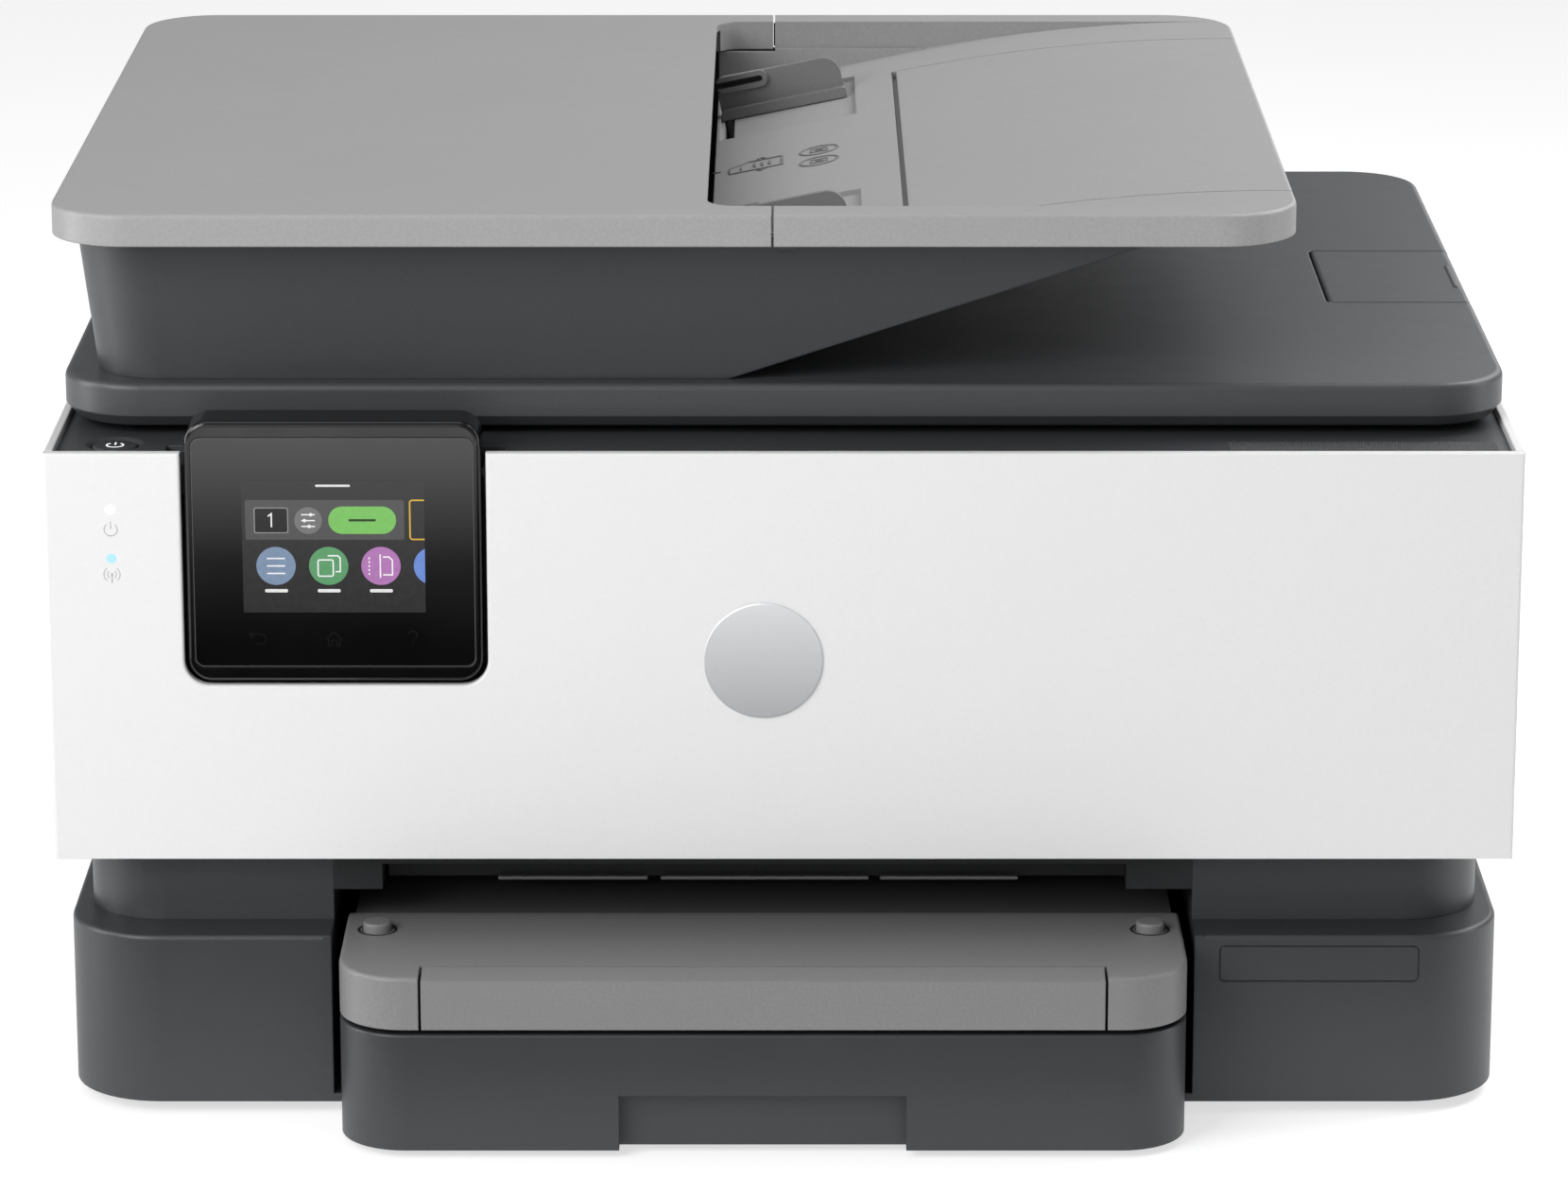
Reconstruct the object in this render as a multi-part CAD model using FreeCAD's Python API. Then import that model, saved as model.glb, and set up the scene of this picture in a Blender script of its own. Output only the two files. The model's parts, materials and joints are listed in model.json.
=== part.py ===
"""An all-in-one inkjet printer: base, print mechanism, scanner, document feeder and trays.

Frame: millimetres, +X to the right seen from the front, +Y to the back, +Z up.
The origin is on the floor, below the middle of the whole printer's box.
"""
import FreeCAD, Part
import math
import os

V = FreeCAD.Vector
X_AXIS = V(1, 0, 0)
Y_AXIS = V(0, 1, 0)
Z_AXIS = V(0, 0, 1)

# ---- driving dimensions (mm) ----
HALF = 219.5                # half of the overall width
FRONT = -196.1              # fronts of both trays
REAR = 196.1                # back of the rear door
TOP = 276.0                 # top of the document feeder
WALL = 2.6                  # moulded casing thickness
GAP = 0.4                   # gap between parts that move past each other
PIN_R = 1.5                 # hinge pins
BORE_R = 1.56               # holes that run on the hinge pins

BASE_HALF, BASE_FRONT, BASE_REAR = 217.7, -157.5, 190.0
BASE_BOTTOM, BASE_TOP, BASE_CORNER = 4.0, 57.1, 28.0
NECK_HALF, NECK_FRONT, NECK_REAR = 212.6, -142.5, 188.0
NECK_TOP, NECK_CORNER, NECK_WALL = 90.0, 24.0, 3.0
CHANNEL_LEFT, CHANNEL_RIGHT = -136.9, 124.2   # opening for the trays

SIDE_INNER = 216.9
SIDE_FRONT, SIDE_REAR = -154.0, 191.0
DOOR_FRONT, DOOR_BACK = -157.5, -154.5
DOOR_BOTTOM, RIM_TOP = 81.5, 207.4
REAR_AXIS_Y, REAR_AXIS_Z = 193.6, 89.0
DOOR_AXIS_Y, DOOR_AXIS_Z = -150.5, 81.5
DOOR_KNUCKLE_R = 2.5
NOTCH_LEFT, NOTCH_RIGHT, NOTCH_BOTTOM = -179.0, -88.4, 136.0
DECK_UNDER, DECK_TOP = 202.5, 205.0
FRAME_FRONT, FRAME_BACK = -138.4, -135.8      # inner front frame

PANEL_LEFT, PANEL_RIGHT = -177.8, -89.8
PANEL_BOTTOM, PANEL_TOP = 137.3, 217.2
PANEL_FRONT, PANEL_BACK = -158.0, -143.5
PANEL_AXIS_Y, PANEL_AXIS_Z = -148.0, 199.0
BUTTON_X, BUTTON_Y, BUTTON_R = -200.2, -136.3, 6.8

GLASS_LEFT, GLASS_RIGHT, GLASS_FRONT, GLASS_REAR = -165.0, 135.0, -100.0, 120.0
LID_HALF, LID_FRONT, LID_REAR = 218.0, -127.9, 188.8
LID_BOTTOM, LID_EDGE, LID_TOP, LID_CORNER = 208.0, 211.4, 221.3, 24.0
LID_CEILING = 216.0
LID_AXIS_Y, LID_AXIS_Z = 183.4, 212.0
LID_KNUCKLE_R = 2.4
STOP_RIGHT, STOP_FRONT, STOP_REAR = 217.9, -17.2, 57.7
STOP_AXIS_X, STOP_AXIS_Z = 174.0, 220.0
STOP_GAP = 0.75             # line round the document stop

ADF_LEFT, ADF_SEAM, ADF_RIGHT = -219.0, -3.05, 153.2
ADF_FRONT, ADF_REAR, ADF_CORNER = -141.8, 190.3, 24.0
ADF_UNDER = 266.4           # underside of the grey cover and tray
ADF_BODY_TOP = 266.1
MOUTH_LEFT, MOUTH_FRONT, MOUTH_REAR = -23.0, -128.6, 176.4
SHEET_MIDDLE_Y = 19.1       # middle of the paper in the feeder
CURVE_X, CURVE_R = 148.0, 540.0               # start and radius of the tray's falling surface
SLOPE_X = 40.0                                # left of here the surface is straight
SLOPE = math.asin((CURVE_X - SLOPE_X) / CURVE_R)
SLOPE_Z = TOP - CURVE_R + CURVE_R * math.cos(SLOPE)
TRAY_SKIN = 5.5
FLAP_LEFT, FLAP_FRONT, FLAP_REAR, FLAP_THICK = 38.1, -106.0, 144.2, 2.2
FLAP_GAP = 0.6              # line round the tray's flap
FLAP_AXIS_X, FLAP_AXIS_Z = 151.0, 274.6
COVER_AXIS_X, COVER_AXIS_Z = -206.5, 262.0
TRAY_AXIS_X, TRAY_AXIS_Z = -1.55, 273.8

DRAWER_LEFT, DRAWER_RIGHT = -133.2, 120.7
DRAWER_BOTTOM, DRAWER_TOP, DRAWER_CORNER = 2.5, 38.9, 20.0
DRAWER_BACK = 100.0
PAPER_MIDDLE_X = (DRAWER_LEFT + DRAWER_RIGHT) / 2
PAPER_HALF = 108.0          # half a letter sheet's width
OUT_BOTTOM, OUT_TOP, OUT_REAR = 40.5, 56.7, -134.3
EXT_LEFT, EXT_RIGHT, EXT_LIP_BACK = -107.8, 95.4, -184.9
PEG_Y, PEG_R = -150.4, 4.3
PEG_XS = (-123.3, 111.0)

CARRIAGE_X, CARRIAGE_HALF = 148.0, 42.0
ROD_Y, ROD_Z, ROD_R = -34.0, 112.0, 4.0
FEED_Y, FEED_Z = -32.0, 75.0
EXIT_Y, EXIT_Z = -124.0, 75.0
FRAME_X = 204.0             # inner faces of the side frames
GEAR_LEFT, GEAR_RIGHT = -194.0, -190.0
GEAR_MODULE = 2.0
FEED_TEETH, TRANSFER_TEETH, EXIT_TEETH = 20, 30, 12
TRANSFER_Y = FEED_Y - GEAR_MODULE * (FEED_TEETH + TRANSFER_TEETH) / 2
RACK_MODULE, RACK_PINION_TEETH = 1.5, 10
RACK_R = RACK_MODULE * RACK_PINION_TEETH / 2


# ---- building blocks ----
def box(x0, x1, y0, y1, z0, z1):
    return Part.makeBox(x1 - x0, y1 - y0, z1 - z0, V(x0, y0, z0))


def rod_x(y, z, radius, x0, x1):
    return Part.makeCylinder(radius, x1 - x0, V(x0, y, z), X_AXIS)


def rod_y(x, z, radius, y0, y1):
    return Part.makeCylinder(radius, y1 - y0, V(x, y0, z), Y_AXIS)


def rod_z(x, y, radius, z0, z1):
    return Part.makeCylinder(radius, z1 - z0, V(x, y, z0), Z_AXIS)


def joined(first, *others):
    """One solid out of pieces that overlap."""
    return first.multiFuse(list(others)).removeSplitter() if others else first


def without(shape, *tools):
    for tool in tools:
        shape = shape.cut(tool)
    return shape


def rounded_outline(a0, a1, b0, b1, radii, place):
    """A rectangle with one corner radius for each corner, counted from (a0, b0) anticlockwise."""
    corners = [(a0, b0, 1, 1), (a1, b0, -1, 1), (a1, b1, -1, -1), (a0, b1, 1, -1)]
    starts, ends, arcs = [], [], []
    for index, ((a, b, da, db), radius) in enumerate(zip(corners, radii)):
        along_a = (a + da * radius, b)
        along_b = (a, b + db * radius)
        reach = radius * (1 - math.sqrt(0.5))
        middle = (a + da * reach, b + db * reach)
        enter, leave = (along_b, along_a) if index % 2 == 0 else (along_a, along_b)
        starts.append(enter)
        ends.append(leave)
        arcs.append(middle)
    edges = []
    for index in range(4):
        if radii[index] > 0:
            edges.append(Part.Arc(place(*starts[index]), place(*arcs[index]), place(*ends[index])).toShape())
        after = starts[(index + 1) % 4]
        edges.append(Part.LineSegment(place(*ends[index]), place(*after)).toShape())
    return Part.Wire(edges)


def plan_outline(x0, x1, y0, y1, z, front_r, rear_r):
    radii = (front_r, front_r, rear_r, rear_r)
    return rounded_outline(x0, x1, y0, y1, radii, lambda x, y: V(x, y, z))


def slab(x0, x1, y0, y1, z0, z1, front_r, rear_r=None):
    """A flat block whose plan has round corners."""
    rear_r = front_r if rear_r is None else rear_r
    return Part.Face(plan_outline(x0, x1, y0, y1, z0, front_r, rear_r)).extrude(V(0, 0, z1 - z0))


def upright(x0, x1, z0, z1, y0, y1, bottom_r, top_r=None):
    """A standing plate whose front view has round corners."""
    top_r = bottom_r if top_r is None else top_r
    radii = (bottom_r, bottom_r, top_r, top_r)
    wire = rounded_outline(x0, x1, z0, z1, radii, lambda x, z: V(x, y0, z))
    return Part.Face(wire).extrude(V(0, y1 - y0, 0))


def side_prism(points, y0, y1):
    """A polygon of (x, z) points, carried from y0 to y1."""
    wire = Part.makePolygon([V(x, y0, z) for x, z in points + points[:1]])
    return Part.Face(wire).extrude(V(0, y1 - y0, 0))


def loft(*wires):
    return Part.makeLoft(list(wires), True, True)


def soften(shape, radius, wanted):
    """Rounds every edge whose box meets the test."""
    edges = [edge for edge in shape.Edges if wanted(edge.BoundBox)]
    return shape.makeFillet(radius, edges)


def at_height(z):
    return lambda b: abs(b.ZMin - z) < 0.01 and abs(b.ZMax - z) < 0.01


def at_depth(y):
    return lambda b: abs(b.YMin - y) < 0.01 and abs(b.YMax - y) < 0.01


def gear(teeth, module, thickness, bore_r, turn=0.0):
    """A spur gear about +Z with straight-flanked teeth; turn is in tooth pitches."""
    pitch_r = module * teeth / 2
    root_r = pitch_r - 1.1 * module
    step = 2 * math.pi / teeth
    points = []
    for tooth in range(teeth):
        middle = (tooth + turn) * step
        for offset, radius in ((-0.33, root_r), (-0.11, pitch_r + 0.8 * module),
                               (0.11, pitch_r + 0.8 * module), (0.33, root_r)):
            angle = middle + offset * step
            points.append(V(radius * math.cos(angle), radius * math.sin(angle), 0))
    blank = Part.Face(Part.makePolygon(points + points[:1])).extrude(V(0, 0, thickness))
    return blank.cut(Part.makeCylinder(bore_r, thickness, V(0, 0, 0), Z_AXIS)) if bore_r else blank


def rack_teeth(count, module, thickness, first):
    """Teeth that point to +X from the line X = -1.1 module, along +Y from first."""
    step = math.pi * module
    teeth = []
    for index in range(count):
        middle = first + index * step
        foot, tip = 0.33 * step, 0.12 * step
        points = [V(-1.1 * module - 0.1, middle - foot, 0), V(0.8 * module, middle - tip, 0),
                  V(0.8 * module, middle + tip, 0), V(-1.1 * module - 0.1, middle + foot, 0)]
        teeth.append(Part.Face(Part.makePolygon(points + points[:1])).extrude(V(0, 0, thickness)))
    return teeth


def about_x(shape, x, y, z):
    """Turns a +Z piece to lie along +X and puts it at a place."""
    shape.rotate(V(0, 0, 0), Y_AXIS, 90)
    shape.translate(V(x, y, z))
    return shape


# ---- casing ----
def base_shell():
    outer = slab(-BASE_HALF, BASE_HALF, BASE_FRONT, BASE_REAR, BASE_BOTTOM, BASE_TOP, BASE_CORNER, 12)
    outer = soften(outer, 1.6, at_height(BASE_TOP))
    floor = BASE_BOTTOM + WALL
    room = slab(-BASE_HALF + WALL, BASE_HALF - WALL, BASE_FRONT + WALL, BASE_REAR - WALL,
                floor, BASE_TOP - WALL, BASE_CORNER - WALL, 12 - WALL)
    inner = NECK_HALF - NECK_WALL
    well = slab(-inner, inner, NECK_FRONT + NECK_WALL, NECK_REAR - NECK_WALL, floor, BASE_TOP + 1,
                NECK_CORNER - NECK_WALL, 5)
    channel = box(CHANNEL_LEFT, CHANNEL_RIGHT, BASE_FRONT - 1, 0, floor, BASE_TOP + 1)
    shell = without(outer, room, well, channel)
    left = box(CHANNEL_LEFT - WALL, CHANNEL_LEFT, BASE_FRONT, 40, BASE_BOTTOM, BASE_TOP)
    right = box(CHANNEL_RIGHT, CHANNEL_RIGHT + WALL, BASE_FRONT, 40, BASE_BOTTOM, BASE_TOP)
    shell = joined(shell, left, right)
    groove = upright(131.6, 192.3, 42.4, 54.0, BASE_FRONT - 1, BASE_FRONT + 0.45, 1.8)
    island = upright(132.1, 191.8, 42.9, 53.5, BASE_FRONT - 1, BASE_FRONT + 0.45, 1.4)
    inlet = box(148, 178, BASE_REAR - WALL - 1, BASE_REAR + 1, 18, 40)
    ports = [box(x0, x1, BASE_REAR - WALL - 1, BASE_REAR + 1, 16, top)
             for x0, x1, top in ((-188, -174, 29), (-164, -147, 31), (-138, -125, 29))]
    return without(shell, groove.cut(island), inlet, *ports)


def neck_shell():
    outer = slab(-NECK_HALF, NECK_HALF, NECK_FRONT, NECK_REAR, BASE_TOP, NECK_TOP, NECK_CORNER, 8)
    inner = NECK_HALF - NECK_WALL
    room = slab(-inner, inner, NECK_FRONT + NECK_WALL, NECK_REAR - NECK_WALL, BASE_TOP - 1, NECK_TOP + 1,
                NECK_CORNER - NECK_WALL, 5)
    channel = box(CHANNEL_LEFT, CHANNEL_RIGHT, NECK_FRONT - 1, NECK_FRONT + 10, BASE_TOP - 1, NECK_TOP + 1)
    shell = without(outer, room, channel)
    left = box(CHANNEL_LEFT - WALL, CHANNEL_LEFT, NECK_FRONT, 40, BASE_TOP, 70)
    right = box(CHANNEL_RIGHT, CHANNEL_RIGHT + WALL, NECK_FRONT, 40, BASE_TOP, 70)
    lugs = []
    for side in (-1, 1):
        x0, x1 = sorted((side * 195.2, side * 199.2))
        pin0, pin1 = sorted((side * 188.2, side * 197.0))
        lugs.append(joined(box(x0, x1, DOOR_AXIS_Y, NECK_FRONT + 1, DOOR_AXIS_Z - DOOR_KNUCKLE_R,
                               DOOR_AXIS_Z + DOOR_KNUCKLE_R),
                           rod_x(DOOR_AXIS_Y, DOOR_AXIS_Z, DOOR_KNUCKLE_R, x0, x1),
                           rod_x(DOOR_AXIS_Y, DOOR_AXIS_Z, PIN_R, pin0, pin1)))
    return joined(shell, left, right, *lugs)


def side_panel(side):
    x0, x1 = sorted((side * SIDE_INNER, side * HALF))
    wall = box(x0, x1, SIDE_FRONT, SIDE_REAR, DOOR_BOTTOM, RIM_TOP)
    wall = wall.makeFillet(0.5, [e for e in wall.Edges if e.BoundBox.ZMin > RIM_TOP - 0.1])
    f0, f1 = sorted((side * NECK_HALF, side * (SIDE_INNER + 0.5)))
    flange = box(f0, f1, SIDE_FRONT, NECK_REAR, DOOR_BOTTOM, DOOR_BOTTOM + WALL)
    return joined(wall, flange)


def rear_panel():
    plate = box(-SIDE_INNER, SIDE_INNER, NECK_REAR, SIDE_REAR, 84.1, DECK_UNDER)
    plate = plate.cut(upright(-146, 146, 94, 174, NECK_REAR - 1, SIDE_REAR + 1, 4))
    pieces = []
    for side in (-1, 1):
        x0, x1 = sorted((side * 150.6, side * 156.0))
        lug = joined(box(x0, x1, SIDE_REAR - 1, REAR_AXIS_Y, REAR_AXIS_Z - 2.4, REAR_AXIS_Z + 2.4),
                     rod_x(REAR_AXIS_Y, REAR_AXIS_Z, 2.4, x0, x1))
        pieces.append(lug.cut(rod_x(REAR_AXIS_Y, REAR_AXIS_Z, BORE_R, x0 - 1, x1 + 1)))
    for row in range(5):
        vent = box(165, 205, NECK_REAR - 1, SIDE_REAR + 1, 120 + 8 * row, 123 + 8 * row)
        plate = plate.cut(vent)
    return joined(plate, *pieces)


def rear_door():
    door = upright(-150, 150, 88, 180, SIDE_REAR + 0.5, 194.6, 3)
    grip = upright(-30, 30, 160, 170, 194.0, REAR, 3)
    trunnions = [rod_x(REAR_AXIS_Y, REAR_AXIS_Z, PIN_R, -155.4, -149),
                 rod_x(REAR_AXIS_Y, REAR_AXIS_Z, PIN_R, 149, 155.4)]
    return joined(door, grip, *trunnions)


def front_frame():
    plate = box(-NECK_HALF + 1, NECK_HALF - 1, FRAME_FRONT, FRAME_BACK, NECK_TOP, DECK_UNDER)
    wide = box(-188, 207, FRAME_FRONT - 1, FRAME_BACK + 1, 91.0, 131.5)
    tall = upright(-80, 207, 91.0, 173, FRAME_FRONT - 1, FRAME_BACK + 1, 0, 6)
    button_room = box(-211, -190, FRAME_FRONT - 1, FRAME_BACK + 1, 190, DECK_UNDER + 1)
    plate = without(plate, wide, tall, button_room)
    cheeks = []
    for x0, x1 in ((-184.0, -178.4), (-89.2, -83.6)):
        arm = box(x0, x1, -152.0, FRAME_FRONT + 1, 193.5, DECK_UNDER)
        cheeks.append(arm.cut(rod_x(PANEL_AXIS_Y, PANEL_AXIS_Z, 2.06, x0 - 1, x1 + 1)))
    return joined(plate, *cheeks)


def top_deck():
    deck = box(-SIDE_INNER, SIDE_INNER, SIDE_FRONT, SIDE_REAR, DECK_UNDER, DECK_TOP)
    notch = box(-184.4, -83.2, SIDE_FRONT - 1, FRAME_FRONT, DECK_UNDER - 1, DECK_TOP + 1)
    glass = slab(GLASS_LEFT, GLASS_RIGHT, GLASS_FRONT, GLASS_REAR, DECK_UNDER - 1, DECK_TOP + 1, 2)
    hole = rod_z(BUTTON_X, BUTTON_Y, BUTTON_R + 0.35, DECK_UNDER - 1, DECK_TOP + 1)
    dish_foot = V(BUTTON_X, BUTTON_Y, DECK_TOP - 0.8)
    dish = Part.makeCone(BUTTON_R + 0.35, BUTTON_R + 2.0, 0.8, dish_foot, Z_AXIS)
    deck = without(deck, notch, glass, hole, dish)
    for side in (-1, 1):
        deck = deck.cut(box(side * 150 - 8, side * 150 + 8, 179.5, 187.5, DECK_UNDER - 1, DECK_TOP + 1))
    return deck


def feet():
    return [rod_z(x, y, 9, 0, BASE_BOTTOM) for x in (-185, 185) for y in (-125, 160)]


def case_screws():
    screws = []
    for x in (-208, 208):
        for z in (96, 190):
            head = rod_y(x, z, 3.2, SIDE_REAR, SIDE_REAR + 1.8)
            slot = box(x - 2, x + 2, SIDE_REAR + 1.0, SIDE_REAR + 2, z - 0.4, z + 0.4)
            screws.append(head.cut(slot))
    return screws


# ---- door and control panel ----
def front_door():
    plate = upright(-HALF, HALF, DOOR_BOTTOM, RIM_TOP, DOOR_FRONT, DOOR_BACK, 0)
    radii = (7.5, 7.5, 0, 0)
    wire = rounded_outline(NOTCH_LEFT, NOTCH_RIGHT, NOTCH_BOTTOM, RIM_TOP + 5, radii,
                           lambda x, z: V(x, DOOR_FRONT - 1, z))
    plate = plate.cut(Part.Face(wire).extrude(V(0, 6, 0)))
    return soften(plate, 0.9, lambda b: at_depth(DOOR_FRONT)(b) and b.ZMax > RIM_TOP - 0.01)


def door_liner():
    liner = upright(-212, 212, 91, 200, DOOR_BACK, DOOR_BACK + 2.0, 3)
    notch = box(-186, -81, DOOR_BACK - 1, DOOR_BACK + 3, 131, 201)
    liner = liner.cut(notch)
    ribs = [box(x - 0.8, x + 0.8, DOOR_BACK + 1, DOOR_BACK + 2.2, 96, 128) for x in range(-180, 181, 40)]
    knuckles = []
    for side in (-1, 1):
        x0, x1 = sorted((side * 188.6, side * 194.8))
        knuckle = joined(box(x0, x1, DOOR_BACK, DOOR_AXIS_Y, DOOR_AXIS_Z, DOOR_AXIS_Z + 4),
                         box(x0, x1, DOOR_BACK, DOOR_BACK + 2, DOOR_AXIS_Z, 92),
                         rod_x(DOOR_AXIS_Y, DOOR_AXIS_Z, DOOR_KNUCKLE_R, x0, x1))
        knuckles.append(knuckle.cut(rod_x(DOOR_AXIS_Y, DOOR_AXIS_Z, BORE_R, x0 - 1, x1 + 1)))
    return joined(liner, *ribs, *knuckles)


def door_emblem():
    disc = rod_y(-6.2, 143.7, 17.8, DOOR_FRONT - 0.7, DOOR_FRONT)
    return soften(disc, 0.35, at_depth(DOOR_FRONT - 0.7))


def panel_housing():
    body = upright(PANEL_LEFT, PANEL_RIGHT, PANEL_BOTTOM, PANEL_TOP, PANEL_FRONT, PANEL_BACK, 7)
    body = soften(body, 1.6, at_depth(PANEL_FRONT))
    pocket = upright(PANEL_LEFT + 2.0, PANEL_RIGHT - 2.0, 141.8, 212.3,
                     PANEL_FRONT - 1, PANEL_FRONT + 1.7, 3)
    left = rod_x(PANEL_AXIS_Y, PANEL_AXIS_Z, 2.0, -183.0, PANEL_LEFT + 1)
    right = rod_x(PANEL_AXIS_Y, PANEL_AXIS_Z, 2.0, PANEL_RIGHT - 1, -84.6)
    return joined(body.cut(pocket), left, right)


def panel_glass():
    return upright(PANEL_LEFT + 2.1, PANEL_RIGHT - 2.1, 141.9, 212.2,
                   PANEL_FRONT + 0.1, PANEL_FRONT + 1.7, 2.8)


def power_button():
    cap = rod_z(BUTTON_X, BUTTON_Y, BUTTON_R, 201.4, 204.6)
    cap = soften(cap, 0.6, at_height(204.6))
    return joined(cap, rod_z(BUTTON_X, BUTTON_Y, 2.0, 196.0, 202.0))


# ---- scanner ----
def platen_glass():
    return slab(GLASS_LEFT, GLASS_RIGHT, GLASS_FRONT, GLASS_REAR, DECK_UNDER, DECK_TOP - 0.2, 2)


def scanner_tub():
    tub = box(-185, 155, -118, 138, 176, DECK_UNDER)
    tub = tub.cut(box(-182.6, 152.6, -98, 118, 178.4, DECK_UNDER + 1))
    seat = rod_x(10, 182, 3, -185.5, 155.5)
    return tub.cut(seat)


def scan_bar():
    bar = box(-162, -146, -96, 116, 186, 199.6)
    foot = box(-162, -146, 2, 18, 178.9, 187)
    return joined(bar, foot).cut(rod_x(10, 182, 3.06, -163, -145))


# ---- lid and document feeder ----
def scanner_lid():
    inset = 3.0
    bevel = loft(plan_outline(-LID_HALF + inset, LID_HALF - inset, LID_FRONT + inset, LID_REAR - inset,
                              LID_BOTTOM, LID_CORNER - inset, LID_CORNER - inset),
                 plan_outline(-LID_HALF, LID_HALF, LID_FRONT, LID_REAR, LID_EDGE, LID_CORNER, LID_CORNER))
    body = slab(-LID_HALF, LID_HALF, LID_FRONT, LID_REAR, LID_EDGE, LID_TOP, LID_CORNER)
    body = soften(body, 2.0, at_height(LID_TOP))
    lid = joined(body, bevel)
    room = slab(-LID_HALF + 6, LID_HALF - 6, LID_FRONT + 6, LID_REAR - 2.2, LID_BOTTOM - 1, LID_CEILING, 18)
    pocket = slab(171.8, LID_HALF + 9, STOP_FRONT - STOP_GAP, STOP_REAR + STOP_GAP, 218.4, LID_TOP + 1, 2.5)
    bores = rod_y(STOP_AXIS_X, STOP_AXIS_Z, 0.96, STOP_FRONT - 3, STOP_REAR + 3)
    notches = [box(side * 150 - 3.4, side * 150 + 3.4, LID_AXIS_Y, LID_REAR + 1, LID_BOTTOM - 1, 217.5)
               for side in (-1, 1)]
    lid = without(lid, room, pocket, bores, *notches)
    knuckles = []
    for side in (-1, 1):
        for x0, x1 in ((side * 150 - 7.5, side * 150 - 3.4), (side * 150 + 3.4, side * 150 + 7.5)):
            knuckles.append(box(x0, x1, LID_AXIS_Y - LID_KNUCKLE_R, LID_AXIS_Y + LID_KNUCKLE_R,
                                LID_AXIS_Z, LID_CEILING + 1))
            knuckles.append(rod_x(LID_AXIS_Y, LID_AXIS_Z, LID_KNUCKLE_R, x0, x1))
        knuckles.append(rod_x(LID_AXIS_Y, LID_AXIS_Z, PIN_R, side * 150 - 6, side * 150 + 6))
    return joined(lid, *knuckles)


def lid_liner():
    liner = slab(-LID_HALF + 6.2, LID_HALF - 6.2, LID_FRONT + 6.2, 174,
                 LID_BOTTOM + 0.2, LID_BOTTOM + 2.4, 17.8, 4)
    ribs = [box(x - 1, x + 1, -110, 165, LID_BOTTOM + 2, LID_CEILING) for x in range(-180, 181, 60)]
    return joined(liner, *ribs)


def lid_pad():
    return slab(-162, 132, -97, 117, DECK_TOP + 0.4, LID_BOTTOM + 0.2, 3)


def lid_hinge_brackets():
    brackets = []
    for side in (-1, 1):
        x0, x1 = side * 150 - 3, side * 150 + 3
        post = box(x0, x1, LID_AXIS_Y - LID_KNUCKLE_R, LID_AXIS_Y + LID_KNUCKLE_R, 188, LID_AXIS_Z)
        foot = box(x0 - 4, x1 + 4, LID_AXIS_Y - LID_KNUCKLE_R, NECK_REAR, 186, DECK_UNDER - 2)
        ear = joined(post, foot, rod_x(LID_AXIS_Y, LID_AXIS_Z, LID_KNUCKLE_R, x0, x1))
        brackets.append(ear.cut(rod_x(LID_AXIS_Y, LID_AXIS_Z, BORE_R, x0 - 1, x1 + 1)))
    return brackets


def document_stop():
    flap = box(STOP_AXIS_X, STOP_RIGHT, STOP_FRONT, STOP_REAR, 218.7, LID_TOP)
    flap = soften(flap, 2.0, lambda b: at_height(LID_TOP)(b) and b.XMin > STOP_RIGHT - 0.1)
    barrel = rod_y(STOP_AXIS_X, STOP_AXIS_Z, 1.3, STOP_FRONT, STOP_REAR)
    pins = rod_y(STOP_AXIS_X, STOP_AXIS_Z, 0.9, STOP_FRONT - 2.5, STOP_REAR + 2.5)
    rib = soften(box(214.4, 215.6, 4.4, 34.9, LID_TOP - 1, LID_TOP + 0.4), 0.3, at_height(LID_TOP + 0.4))
    return joined(flap, barrel, pins, rib)


def feeder_wedge(lift):
    """The space under the feeder body's rising underside, moved inwards by lift."""
    start_x, end_x, low, high = -17.0 - 0.2 * lift, 117.0, 221.3 + lift, 266.4 + lift
    rise = (high - low) / (end_x - start_x)
    far = 170.0
    points = [(start_x, low), (far, low + rise * (far - start_x)), (far, low - 30), (start_x, low - 30)]
    return side_prism(points, ADF_FRONT, ADF_REAR)


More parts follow.
